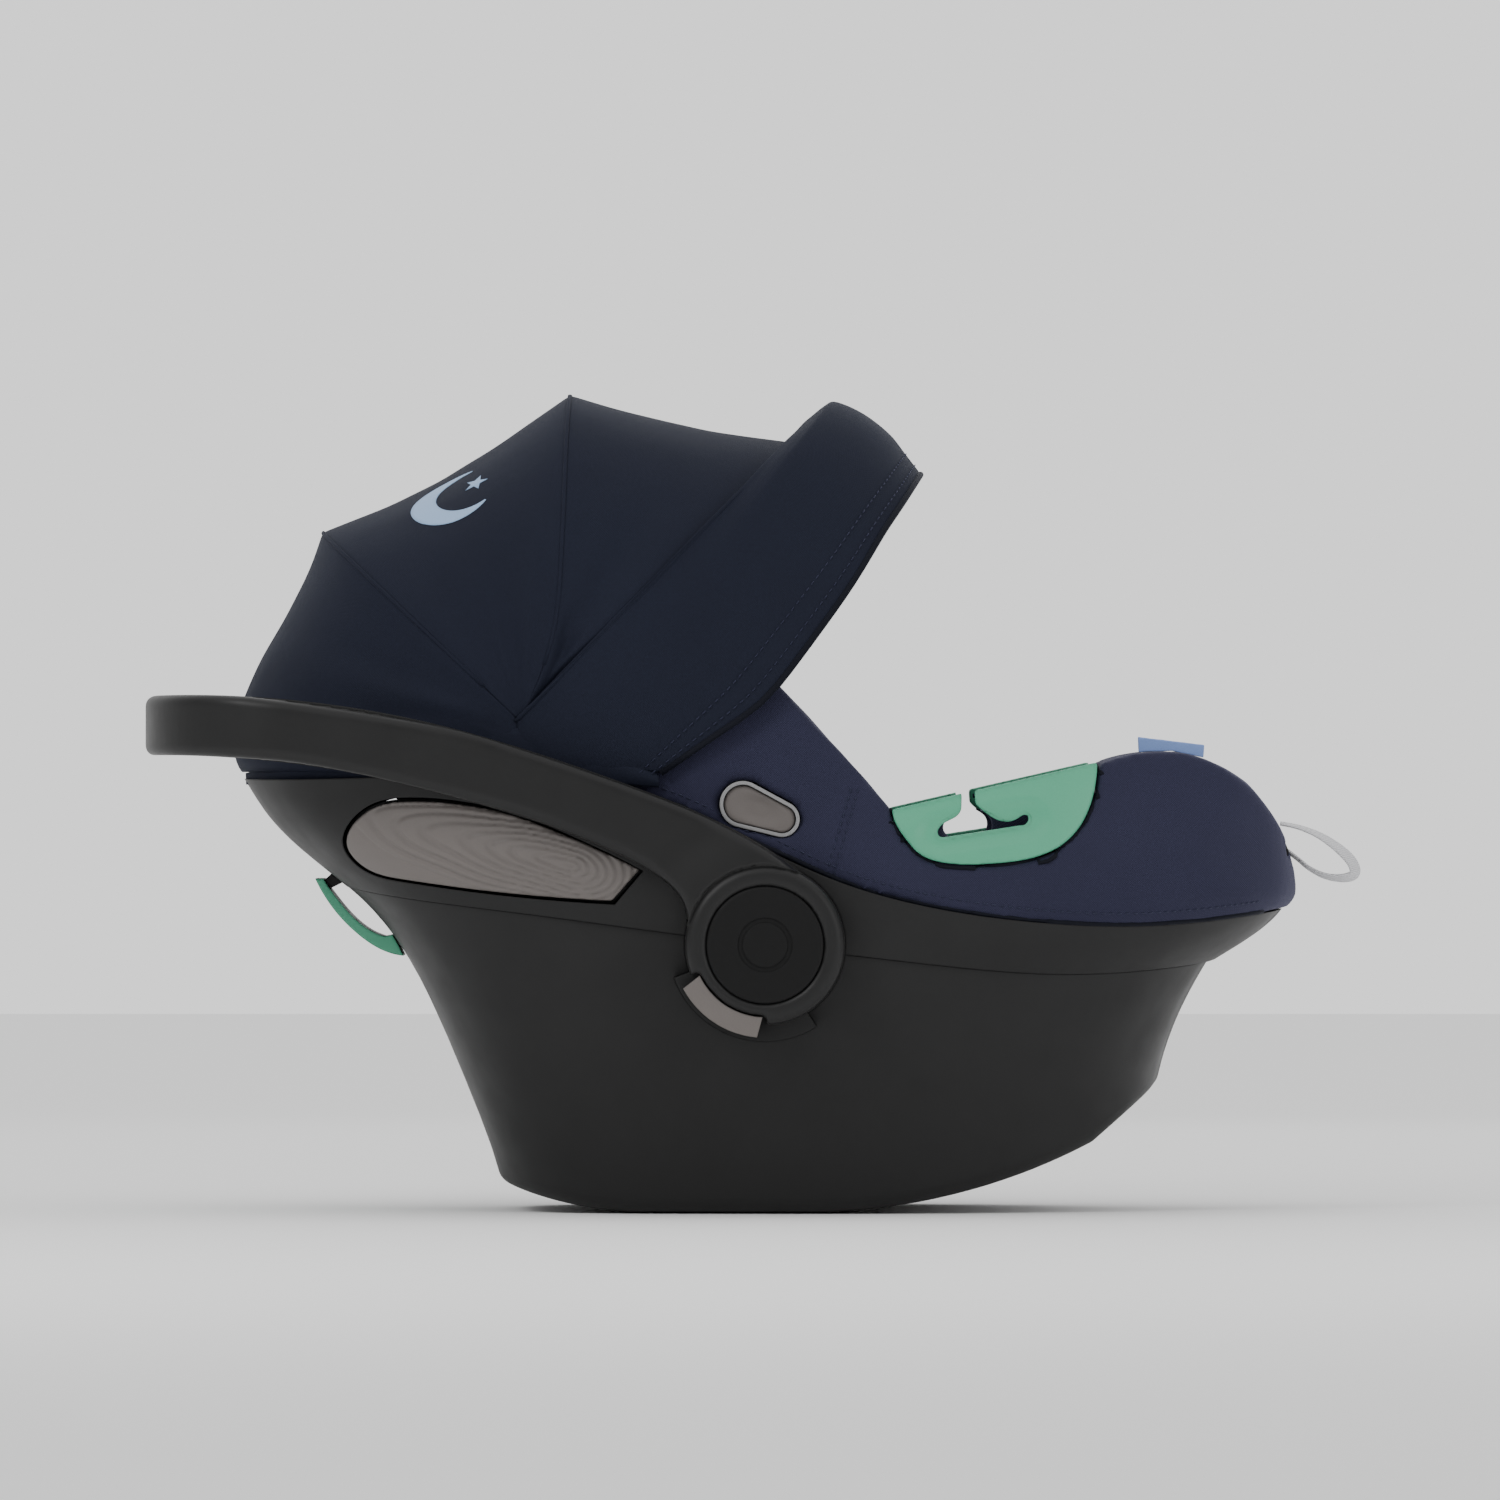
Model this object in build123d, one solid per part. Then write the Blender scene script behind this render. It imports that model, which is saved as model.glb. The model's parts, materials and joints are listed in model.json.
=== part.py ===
from build123d import *
import math
import os

# Infant car seat: a carrier shell with swinging handle, folding canopy and harness.
#
# Millimetres.  +X points to the child's feet, +Y to the child's left, +Z up.  The origin is
# under the middle of the carrier's outer box, on the surface that it stands on.

# ---------------------------------------------------------------- driving dimensions
WALL = 4.0                      # moulded shell thickness
FLOOR_Z = 0.8                   # underside of the shell, above the rubber pads' contact plane
HUB_X, HUB_Z = 6.5, 175.0       # handle pivot
HUB_R = 51.5                    # handle hub ring
HANDLE_REAR_X = -395.4          # outer face of the handle's cross bar
HANDLE_HALF_WIDTH = 211.0       # outer face of the handle arms
HUB_FACE_Y = 217.5              # outer face of the handle hubs
HANDLE_INNER_Y = 197.0          # inner face of the handle arms
BAR_THICKNESS = 20.0            # cross bar, measured along X
HANDLE_CORNER_R = 92.0
AXLE_R = 9.0
RUNNING = 0.06                  # radial clearance of turning fits
CANOPY_X, CANOPY_Z = -151.0, 318.6   # canopy pivot
CANOPY_HALF_WIDTH = 182.0
CLOTH = 2.0                     # canopy fabric with its binding
REAR_BOW_ANGLE, MID_BOW_ANGLE, FRONT_BOW_ANGLE = 136.7, 83.0, 46.0
REAR_BOW_R, MID_BOW_R, FRONT_BOW_R = 181.0, 216.0, 279.0
BACK_ANGLE = 34.0               # backrest slope
BACK_X, BACK_Z = 30.0, 150.0    # foot of the backrest's padded face
PAD = 18.0                      # seat padding thickness
FOAM = 30.0                     # foam liner thickness under and around the seat
LINER_GAP = 0.3                 # between the foam liner and the cover that wraps it
FAR = 600.0                     # longer than any extent, for cutting prisms

# Horizontal sections of the body surfaces: (height, rear X, front X, half width).
LOWER = [(-8, -162, 243, 138), (60, -179, 259, 155), (125, -206, 276, 170), (177, -234, 305, 180),
         (222, -280, 330, 186)]
RIM = [(148, -217, 284, 177), (180, -237, 327, 184), (200, -253.5, 347, 187.5), (225, -283, 352, 190),
       (250, -311, 352, 190.5), (286, -336, 352, 191)]
COVER = [(180, -236, 326, 183), (202, -250, 351, 185.5), (240, -292, 354, 180.5), (290, -320, 354, 170),
         (410, -288, 354, 142)]
LINER = [(58, -166, 232, 138), (125, -190, 258, 152), (180, -220, 305, 163), (205, -238, 338, 167),
         (260, -294, 346, 165), (343, -298, 346, 150), (410, -280, 346, 134)]
REAR_SQUARENESS, FRONT_SQUARENESS = 3.6, 2.6

parts = {}


# ---------------------------------------------------------------- helpers
def section(z, rear, front, half_width, rear_power, front_power, points=22):
    """A closed horizontal outline, squarer or rounder at each end."""
    centre, reach = (rear + front) / 2, (front - rear) / 2
    outline = []
    for i in range(points):
        c, s = math.cos(2 * math.pi * i / points), math.sin(2 * math.pi * i / points)
        power = 2 / (front_power if c > 0 else rear_power)
        x = centre + reach * math.copysign(abs(c) ** power, c)
        y = half_width * math.copysign(abs(s) ** power, s)
        outline.append(Vector(x, y, z))
    return Face(Wire(Edge.make_spline(outline, periodic=True)))


def body(rows, inset=0.0, rear_power=REAR_SQUARENESS, front_power=FRONT_SQUARENESS):
    """The solid inside a table of sections, drawn in by inset."""
    return loft([section(z, rear + inset, front - inset, width - inset, rear_power, front_power)
                 for z, rear, front, width in rows])


def side_face(*edges):
    """A face from edges drawn in side view, as X and Z."""
    return Plane.XZ * make_face(Wire(edges).edges())


def polygon(points):
    return Plane.XZ * make_face(Polyline(*points, close=True))


def prism(face, low=-FAR, high=FAR):
    """A side-view face made solid between two Y values."""
    return Pos(0, low, 0) * extrude(face, amount=high - low, dir=(0, 1, 0))


def smooth(points):
    """A curve through side-view points."""
    return Spline(*points)


def rod(x, z, radius, low, high):
    """A round bar along Y."""
    return Pos(x, (low + high) / 2, z) * Rot(90, 0, 0) * Cylinder(radius, high - low)


def block(x0, x1, y0, y1, z0, z1):
    return Pos((x0 + x1) / 2, (y0 + y1) / 2, (z0 + z1) / 2) * Box(x1 - x0, y1 - y0, z1 - z0)


def polar(radius, angle, x=HUB_X, z=HUB_Z):
    return (x + radius * math.cos(math.radians(angle)), z + radius * math.sin(math.radians(angle)))


def mirrored(solid):
    return mirror(solid, about=Plane.XZ)


def pair(name, left):
    parts[name + "_left"] = left
    parts[name + "_right"] = mirrored(left)


def both(left):
    """One node holding a solid and its mirror image."""
    return Compound([*left.solids(), *mirrored(left).solids()])


BACK = Plane(origin=(BACK_X, 0, BACK_Z),
             x_dir=(-math.cos(math.radians(BACK_ANGLE)), 0, math.sin(math.radians(BACK_ANGLE))),
             z_dir=(math.sin(math.radians(BACK_ANGLE)), 0, math.cos(math.radians(BACK_ANGLE))))


def on_back(s0, s1, y0, y1, n0, n1):
    """A block in the backrest's own frame: up the back, across, and out of it."""
    box = Pos((s0 + s1) / 2, -(y0 + y1) / 2, (n0 + n1) / 2) * Box(s1 - s0, abs(y1 - y0), n1 - n0)
    return BACK * box


# ---------------------------------------------------------------- shared side-view curves
PARTING = [(-360, 240), (-264, 211), (-156, 195.8), (-44, 181), (61, 168.3), (129, 160.5), (201, 155.5),
           (252, 157.5), (296, 162.5), (400, 178)]
RIM_TOP = [(-360, 283), (-240, 283), (-130, 281), (-61, 268), (0, 240), (61, 213), (106, 200.5),
           (152, 192.5), (197, 188), (242, 186.5), (287, 189), (345, 196.5), (400, 204)]
ROCKER_REAR, ROCKER_FRONT = (-175, 24), (266, 86)


def between(bottom, top):
    """A side-view band between two curves, as a prism; straight at both ends."""
    return prism(side_face(smooth(bottom), Line(bottom[-1], top[-1]), smooth(top[::-1]), Line(top[0], bottom[0])))


def raised(points, lift):
    return [(x, z + lift) for x, z in points]


def lower_region(lift, top_lift):
    """The lower shell's side view, its underside and top moved by the given amounts."""
    z = FLOOR_Z + lift
    rear = (ROCKER_REAR[0] + lift / 2, ROCKER_REAR[1] + lift)
    front = (ROCKER_FRONT[0] - lift / 2, ROCKER_FRONT[1] + lift)
    knee = (219, 46 + lift)
    top = raised(PARTING, top_lift)
    return prism(side_face(
        Line((top[0][0], 70), rear), ThreePointArc(rear, (-122, 6.5 + lift), (-72, z)), Line((-72, z), (42, z)),
        ThreePointArc((42, z), (133, 13.5 + lift), knee), Line(knee, front), Line(front, top[-1]),
        smooth(top[::-1]), Line(top[0], (top[0][0], 70))))


# ---------------------------------------------------------------- shell
POCKET = (-118, 104, 48, 38)      # base latch pocket: rear X, front X, half width, height
BAR_R, BAR_Z, BAR_XS = 5.0, 17.0, (-92, 78)
HOUSING_SECTOR = (52.0, 200, 302, 62.5)


def two_sided(make, low, high):
    """The same tool on the left and on the right, between two distances from the middle."""
    return [make(low, high), make(-high, -low)]


def latch_bars(radius):
    return [rod(x, BAR_Z, radius, -POCKET[2] - 8, POCKET[2] + 8) for x in BAR_XS]


def pad_strip():
    return block(-66, 36, 84, 108, 0, FLOOR_Z + 2)


def sector_face(radius, start, end, wide_radius):
    """A disc about the handle pivot with one sector at a larger radius."""
    a, b = polar(radius, start), polar(wide_radius, start)
    c, d = polar(wide_radius, end), polar(radius, end)
    middle = (start + end) / 2
    return side_face(Line(a, b), ThreePointArc(b, polar(wide_radius, middle), c), Line(c, d),
                     ThreePointArc(d, polar(radius, middle + 180), a))


def make_lower_shell():
    outer = body(LOWER) & lower_region(0, 0)
    x0, x1, half, top = POCKET
    outer = fillet(outer.edges().filter_by(lambda e: e.length > 60 and (e @ 0.5).Z < 100), 12)
    inside = (body(LOWER, WALL) & lower_region(WALL, 5)) - block(x0 - 3, x1 + 3, -half - 3, half + 3, -20, top + 3)
    holes = [block(x0, x1, -half, half, -20, top), pad_strip(), mirrored(pad_strip())] + latch_bars(BAR_R)
    housing = sector_face(*HOUSING_SECTOR)
    holes += two_sided(lambda low, high: prism(housing, low, high), 150, 230)
    return outer - inside - holes


def grown(face, margin):
    """A side-view face enlarged by a margin on every side of its box."""
    box = face.bounding_box()
    middle = box.center()
    wide, high = 2 * margin / box.size.X, 2 * margin / box.size.Z
    return Pos(-wide * middle.X, 0, -high * middle.Z) * scale(face, by=(1 + wide, 1, 1 + high))


def guard_outline():
    """The side guard's leaf shape in side view; its top edge clears the parked handle arm."""
    tip, tail = (-74.5, 223.5), (-92.4, 203.2)
    return side_face(
        smooth([tail, (-135, 205.9), (-190.5, 211.6), (-227.7, 216.8), (-252, 224), (-264.5, 240),
                (-249.6, 261.5), (-223.8, 267.5), (-181, 264), (-153.5, 257.6), (-125.8, 247), (-98, 235), tip]),
        Line(tip, tail))


def make_upper_shell():
    outer = body(RIM) & between(PARTING, RIM_TOP)
    inside = body(RIM, WALL) & between(raised(PARTING, -9), raised(RIM_TOP, -3))
    window, housing = grown(guard_outline(), 2.4), sector_face(*HOUSING_SECTOR)
    holes = two_sided(lambda low, high: prism(window, low, high), 100, 250)
    holes += two_sided(lambda low, high: prism(housing, low, high), 150, 230)
    return outer - inside - body(RIM, 16) - holes


# ---------------------------------------------------------------- padding and cover
COVER_TOP_REAR = [(-360, 318), (-300, 346), (-240, 368), (-165, 388), (-75, 390), (15, 341)]
SIDE_LINE = [(15, 341), (89, 261), (222.5, 290)]
HUMP = [(222.5, 290), (249, 298.6), (272, 299.3), (295, 293.5), (321, 275.5), (341, 252.5), (351, 229),
        (353.5, 210), (352, 198)]
BACK_SIN, BACK_COS = math.sin(math.radians(BACK_ANGLE)), math.cos(math.radians(BACK_ANGLE))


def cover_region(drop, bottom):
    """The cover's side view, its top line lowered by drop and its underside along a curve."""
    rear, side, hump = raised(COVER_TOP_REAR, -drop), raised(SIDE_LINE, -drop), raised(HUMP, -drop)
    return prism(side_face(smooth(rear), Line(side[0], side[1]), Line(side[1], side[2]), smooth(hump),
                           Line(hump[-1], bottom[-1]), smooth(bottom[::-1]), Line(bottom[0], rear[0])))


def cavity(inset):
    """The room for the child, less a lining of the given thickness."""
    def back_point(s):
        n = inset - PAD
        return (BACK_X - s * BACK_COS + n * BACK_SIN, BACK_Z + s * BACK_SIN + n * BACK_COS)
    seat = (78 + inset * 0.1, 112 + inset)
    front_low, front_high = (126 - inset * 0.6, 134 + inset * 0.8), (224 - inset, 276)
    top, foot = back_point(420), back_point(-8)
    profile = Plane.XZ * make_face(Polyline(
        (top[0], FAR), top, foot, seat, front_low, front_high, (front_high[0] + 8, FAR), close=True))
    corners = sorted(profile.vertices(), key=lambda v: v.Z)
    profile = fillet(corners[:3], 22)
    plan = Pos(-20.5, 0, 60) * extrude(RectangleRounded(565 - 2 * inset, 264 - 2 * inset, 50 - inset / 2),
                                       amount=FAR)
    return plan & prism(profile)


def guide_recess(grow, inner=136):
    outline = grown(lap_guide_face(), grow)
    return two_sided(lambda low, high: prism(outline, low, high), inner, 230)


def liner_holes():
    holes = [block(318, 400, -24, 24, 220, 262), block(246, 292, -20, 20, 276, 320)]
    for x, z, _ in GUARD_POSTS:
        holes += two_sided(lambda low, high: rod(x, z, 11.5, low, high), 139, 230)
    holes += two_sided(lambda low, high: rod(HUB_X, HUB_Z, 42, low, high), 148, 230)
    holes += two_sided(lambda low, high: block(-178, -124, low, high, 260, 345), 158, 230)
    holes += two_sided(lambda low, high: block(-32, 36, low, high, 238, 286), 150, 230)
    return holes


def cover_holes():
    holes = [block(318, 400, -24, 24, 220, 262), block(249, 289, -18.5, 18.5, 276, 320)]
    release = release_outline(8.4)
    holes += two_sided(lambda low, high: block(-174, -128, low, high, 260, 345), 161, 230)
    holes += two_sided(lambda low, high: prism(release, low, high), 150, 230)
    return holes


def make_upholstery():
    """The foam liner and the cover that wraps it, sharing one inner volume."""
    deep = [(-360, 150), (-200, 60), (0, 20), (200, 60), (400, 190)]
    block_out = body(LINER) & cover_region(7, deep)
    room = cavity(0)
    cover = (body(COVER) & cover_region(0, raised(RIM_TOP, 0.4))) - block_out - room - cover_holes()
    cover = cover - guide_recess(1.2) - belt_slots(1.5)
    filled = body(LINER, LINER_GAP) & cover_region(7 + LINER_GAP, deep)
    liner = (filled & cavity(-FOAM)) - room - liner_holes() - guide_recess(1.5, 120)
    return largest(liner), largest(cover)


def largest(shape):
    return max(shape.solids(), key=lambda s: s.volume)


def make_seat_pad():
    pad = (cavity(0.3) - cavity(PAD)) & cover_region(9, [(-360, 60), (0, 50), (400, 60)])
    return largest(pad - [block(96, 130, -14, 14, 90, 170)] - belt_slots(1.5))


def make_inlay():
    layer = (cavity(PAD + 0.3) - cavity(PAD + 13)) & block(-120, 120, -200, 200, 60, 200)
    return largest(layer - block(60, 160, -26, 26, 60, 300))


# ---------------------------------------------------------------- hubs and handle
def make_hub_mount():
    """The fixed housing at the left pivot, with the downward slot for a pushchair adapter."""
    housing = prism(sector_face(51.8, 200, 302, 62.3), 168, 195.5)
    cuts = [rod(HUB_X, HUB_Z, 34, 184, 200), rod(HUB_X, HUB_Z, AXLE_R + 0.01, 150, 220),
            rod(HUB_X, HUB_Z, 16, 150, 172), block(HUB_X - 18, HUB_X + 18, 173, 181, 100, 132)]
    return housing - cuts


def arc_band(inner, outer, start, end, skew=0.0):
    """A side-view ring segment about the hub."""
    middle = (start + end) / 2
    a, b = polar(inner, start), polar(outer, start + skew)
    c, d = polar(outer, end - skew), polar(inner, end)
    return side_face(Line(a, b), ThreePointArc(b, polar(outer, middle), c), Line(c, d),
                     ThreePointArc(d, polar(inner, middle), a))


def handle_side(inset=0.0):
    """The handle in side view: the arm's sweep and the hub disc, drawn in by a wall."""
    upper = raised([(-400, 335.5), (-328.7, 335.2), (-200.3, 316), (-148, 301), (-76.9, 276.5), (-30, 257.5),
                    (10, 236), (46, 207)], -inset)
    lower = raised([(-44, 186), (-50, 207), (-76.8, 227.5), (-131, 251), (-175.6, 265), (-274.4, 288.5),
                    (-335, 295.5), (-400, 297)], inset)
    arm = side_face(Line(lower[-1], upper[0]), smooth(upper), Line(upper[-1], (HUB_X, HUB_Z)),
                    Line((HUB_X, HUB_Z), lower[0]), smooth(lower))
    return arm + Plane.XZ * (Pos(HUB_X, HUB_Z) * Circle(HUB_R - inset))


def bow_plan(half_width, rear_x, corner):
    """Area inside a U open to the front, in plan."""
    plan = Pos((rear_x + 200) / 2, 0) * RectangleRounded(200 - rear_x, 2 * half_width, corner)
    return extrude(plan, amount=FAR)


def handle_layer(outer_y, outer_x, inner_y, inner_x):
    corner = HANDLE_CORNER_R - (HANDLE_HALF_WIDTH - outer_y)
    inner_corner = HANDLE_CORNER_R - (HANDLE_HALF_WIDTH - inner_y)
    ring = bow_plan(outer_y, outer_x, corner) - bow_plan(inner_y, inner_x, inner_corner)
    return ring & prism(handle_side())


SPLIT_Y, SPLIT_X = 204.0, HANDLE_REAR_X + 12.0
SCREW_XS = ((-250, 297), (-110, 264))


def make_handle():
    outer = handle_layer(HANDLE_HALF_WIDTH, HANDLE_REAR_X, SPLIT_Y, SPLIT_X)
    inner = handle_layer(SPLIT_Y - 0.05, SPLIT_X + 0.05, HANDLE_INNER_Y, HANDLE_REAR_X + BAR_THICKNESS)
    hollow = handle_layer(HANDLE_HALF_WIDTH - 3, HANDLE_REAR_X + 3, HANDLE_INNER_Y + 3,
                          HANDLE_REAR_X + BAR_THICKNESS - 3)
    hollow &= prism(handle_side(3.2))
    bosses = [rod(HUB_X, HUB_Z, 30, -230, 230)] + [rod(x, z, 6, -230, 230) for x, z in SCREW_XS]
    hollow -= bosses
    outer, inner = outer - hollow, inner - hollow
    gap = arc_band(45.4, 70, 202, 271)
    outer += two_sided(lambda low, high: rod(HUB_X, HUB_Z, HUB_R, low, high), SPLIT_Y + 4, HUB_FACE_Y)
    holes = two_sided(lambda low, high: prism(gap, low, high), 190, 230)
    holes += two_sided(lambda low, high: rod(HUB_X, HUB_Z, AXLE_R + RUNNING, low, high), 150, 230)
    recesses = two_sided(lambda low, high: rod(HUB_X, HUB_Z, 38, low, high), 213, 230)
    recesses += two_sided(lambda low, high: rod(HUB_X, HUB_Z, 16, low, high), 208, 230)
    for x, z in SCREW_XS:
        holes += two_sided(lambda low, high: rod(x, z, 2.0, low, high), 190, 208.6)
        recesses += two_sided(lambda low, high: rod(x, z, 4.2, low, high), 190, 200)
    outer, inner = outer - holes - recesses[:4], inner - holes - recesses[4:]
    return outer, inner


def handle_screw(x, z):
    return rod(x, z, 1.95, 199.9, 208.4) + rod(x, z, 4.0, 197.6, 199.9)


def make_axle():
    shaft = rod(HUB_X, HUB_Z, AXLE_R, 160, 212)
    return shaft + rod(HUB_X, HUB_Z, 14, 208.3, 212) + rod(HUB_X, HUB_Z, 15, 156, 171.8)


def make_hub_cap():
    cap = rod(HUB_X, HUB_Z, 37.7, 213.1, 218.0)
    cap = fillet(cap.edges().sort_by(Axis.Y)[-1], 1.5)
    groove = rod(HUB_X, HUB_Z, 17.5, 217, 220) - rod(HUB_X, HUB_Z, 14.5, 217, 220)
    return cap - groove


def make_lock_gear():
    """Locking gear, drawn in behind the handle so that the handle is free to turn."""
    teeth = []
    for i in range(16):
        teeth.append(Pos(HUB_X, 192.5, HUB_Z) * Rot(0, 22.5 * i, 0) * Pos(31, 0, 0) * Box(4.6, 6.4, 5))
    return rod(HUB_X, HUB_Z, 29.5, 189.3, 195.7) + teeth - rod(HUB_X, HUB_Z, 9.6, 150, 220)


def make_lock_spring():
    """Two flat rings joined by short bridges, standing for a wave spring."""
    ring = rod(HUB_X, HUB_Z, 18, 184.1, 188.9) - rod(HUB_X, HUB_Z, 15.5, 180, 190)
    slots = []
    for i in range(6):
        slots.append(Pos(HUB_X, 186.5, HUB_Z) * Rot(0, 60 * i, 0) * Pos(17, 0, 0) * Box(6, 1.6, 7))
    return ring - slots


# ---------------------------------------------------------------- side guards and buttons
GUARD_POSTS = ((-208, 238, 165), (-122, 226, 181))   # X, Z and where each post meets the leaf


def make_side_guard():
    leaf = (prism(guard_outline(), 100, 250) & body(RIM)) - body(RIM, 9)
    return leaf + [rod(x, z, 6.5, 146, y) for x, z, y in GUARD_POSTS]


def make_guard_housing():
    tray = (prism(grown(guard_outline(), 1.5), 100, 250) & body(RIM, 9.8)) - body(RIM, 12.5)
    skin = body(RIM, 9.8)
    tray += [rod(x, z, 10.5, 140, y) & skin for x, z, y in GUARD_POSTS]
    return tray - [rod(x, z, 6.8, 143, 230) for x, z, y in GUARD_POSTS]


def release_outline(grow):
    """The slanted egg shape of the pushchair release button, in side view."""
    centre, slope = (1.5, 262), -21
    big = Pos(-10, 0) * Circle(7 + grow)
    small = Pos(17, 0) * Circle(3.5 + grow)
    return Plane.XZ * (Pos(*centre) * Rot(0, 0, slope) * make_hull((big + small).edges()))


def make_release_bezel():
    return prism(release_outline(8), 166, 179.5) - prism(release_outline(5.6), 160, 200)


def make_release_button():
    return prism(release_outline(5.2), 164, 177.2)


# ---------------------------------------------------------------- belt guides
def lap_guide_face():
    return side_face(
        smooth([(88.5, 262.2), (92.5, 250), (97, 243.5), (107, 233), (122, 227.8), (154, 227.3), (179, 230.8),
                (198, 239), (210, 251), (217, 265), (221.6, 292.8)]),
        Line((221.6, 292.8), (88.5, 262.2)))


def belt_slot_face():
    """The open slot that the car's lap belt drops into."""
    return side_face(
        Line((134, 280), (133.4, 262.5)), smooth([(133.4, 262.5), (128.7, 256.7), (119.3, 250.9), (117.8, 246.5),
                                                  (120.5, 244)]),
        Line((120.5, 244), (172, 252)), smooth([(172, 252), (176.5, 254.5), (176.8, 257.8), (172, 258)]),
        smooth([(172, 258), (160, 254.5), (150, 259.3), (142.4, 266)]), Line((142.4, 266), (141.5, 280)),
        Line((141.5, 280), (134, 280)))


def belt_slots(grow):
    outline = grown(belt_slot_face(), grow)
    return two_sided(lambda low, high: prism(outline, low, high), 90, 230)


def make_lap_guide():
    """Lap belt hook: a curved leaf with an open slot for the car's belt."""
    leaf = (prism(lap_guide_face(), 138, 250) & body(COVER, -1.5)) - body(COVER, 8)
    return leaf - prism(belt_slot_face(), 100, 250)


def make_shoulder_guide():
    """Shoulder belt loop on the back of the shell."""
    outline = side_face(
        smooth([(-287.2, 216.6), (-278, 200.6), (-260.3, 181.2), (-240.6, 168.8), (-226, 166)]),
        Line((-226, 166), (-231, 181)), Line((-231, 181), (-242, 178.8)),
        smooth([(-242, 178.8), (-256.5, 186.3), (-268.3, 197.8), (-279, 211.5)]),
        Line((-279, 211.5), (-282, 216.5)), Line((-282, 216.5), (-287.2, 216.6)))
    return prism(outline, -40, 40) - body(LOWER) - body(RIM)


def make_guide_clip():
    clip = polygon([(-281.5, 215.5), (-277.0, 210.5), (-262, 218), (-270, 226)])
    clip = prism(clip, -34, 34) - body(RIM) - body(LOWER) - parts["shoulder_belt_guide"]
    return largest(clip)


# ---------------------------------------------------------------- canopy
BOW_LAYERS = {"rear": 175.2, "mid": 173.1, "front": 171.0}
BOW_LAYER_T, BOW_BAND, BOW_DEPTH = 1.8, 6.0, 4.0


def bow_plane(angle, x=CANOPY_X, z=CANOPY_Z):
    """Plane through the canopy pivot line, its local Y pointing out along the angle."""
    a = math.radians(angle)
    return Plane(origin=(x, 0, z), x_dir=(0, -1, 0), z_dir=(-math.sin(a), 0, math.cos(a)))


def arch_points(half_width, height, start, power=2.5, points=15):
    """Half of a rounded arch as (across, up) points, from one foot over to the other."""
    first = math.asin(min(1.0, (start / height)) ** (power / 2))
    outline = []
    for i in range(points):
        t = first + (math.pi - 2 * first) * i / (points - 1)
        c, s = math.cos(t), max(0.0, math.sin(t))
        outline.append((half_width * math.copysign(abs(c) ** (2 / power), c), height * s ** (2 / power)))
    return outline


def arch_band(half_width, height, start, thickness):
    outer = arch_points(half_width, height, start)
    inner = arch_points(half_width - thickness, height - thickness, start)[::-1]
    return make_face(Wire([Spline(*outer), Line(outer[-1], inner[0]), Spline(*inner),
                           Line(inner[-1], outer[0])]).edges())


def canopy_band(angle, height, start=30.0, x=CANOPY_X, z=CANOPY_Z, half_width=CANOPY_HALF_WIDTH):
    return bow_plane(angle, x, z) * arch_band(half_width, height, start, CLOTH)


def make_bow(which, angle, height):
    """A U-shaped bow with a thin eye at each foot, in its own layer across the width."""
    plane = bow_plane(angle)
    band = extrude(arch_band(CANOPY_HALF_WIDTH - 5, height - 4, 36, BOW_BAND), amount=BOW_DEPTH / 2, both=True)
    low = BOW_LAYERS[which]
    for side in (1, -1):
        y = side * (low + BOW_LAYER_T / 2)
        band += Pos(y, 20.5, 0) * Box(BOW_LAYER_T, 41, BOW_DEPTH)
        band += Pos(y, 0, 0) * Rot(0, 90, 0) * Cylinder(8, BOW_LAYER_T)
        band -= Pos(y, 0, 0) * Rot(0, 90, 0) * Cylinder(4 + RUNNING, 30)
    return plane * band


def make_canopy_socket():
    bracket = block(-169, -133, 163, 170.5, 283.4, 319) + rod(CANOPY_X, CANOPY_Z, 17.5, 163, 170.5)
    return bracket + rod(CANOPY_X, CANOPY_Z, 4, 163, 179)


def make_canopy():
    rear_low = canopy_band(180, 184, 0.5, z=284.6)
    parts["canopy_rear_panel"] = loft([rear_low, canopy_band(166, 178.6), canopy_band(151, 175),
                                       canopy_band(REAR_BOW_ANGLE + 1, REAR_BOW_R)])
    parts["canopy_mid_panel"] = loft([canopy_band(REAR_BOW_ANGLE - 1, REAR_BOW_R), canopy_band(109, 179),
                                      canopy_band(MID_BOW_ANGLE + 1, MID_BOW_R)])
    parts["canopy_front_panel"] = loft([canopy_band(MID_BOW_ANGLE - 1, MID_BOW_R), canopy_band(65, 233),
                                        canopy_band(FRONT_BOW_ANGLE + 1, FRONT_BOW_R - 6)])
    lip = canopy_band(49.3, 260, 4, x=-60.6, z=285.4)
    parts["canopy_visor"] = loft([canopy_band(FRONT_BOW_ANGLE - 1, FRONT_BOW_R), lip])
    for which, angle, height in (("rear", REAR_BOW_ANGLE, REAR_BOW_R), ("mid", MID_BOW_ANGLE, MID_BOW_R),
                                 ("front", FRONT_BOW_ANGLE, FRONT_BOW_R - 6)):
        parts[f"canopy_{which}_bow"] = make_bow(which, angle, height)


# ---------------------------------------------------------------- headrest and harness
HEADREST_S = (170, 318)
STRAP_Y, STRAP_W, STRAP_T = 34.0, 25.0, 1.6


def make_headrest():
    low, high = HEADREST_S
    plate = on_back(low + 4, high - 2, -90, 90, 1.0, 5.0)
    pad = on_back(low, high, -95, 95, 5.2, 92) - on_back(low - 5, high + 5, -70, 70, 26, 100)
    pad = fillet(pad.edges().filter_by(lambda e: e.length > high - low - 1 and abs((e @ 0.5).Y) > 60), 8)
    return plate, pad - [on_back(low - 5, low + 37, 20, 48, 6, 12.5), on_back(low - 5, low + 37, -48, -20, 6, 12.5)]


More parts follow.
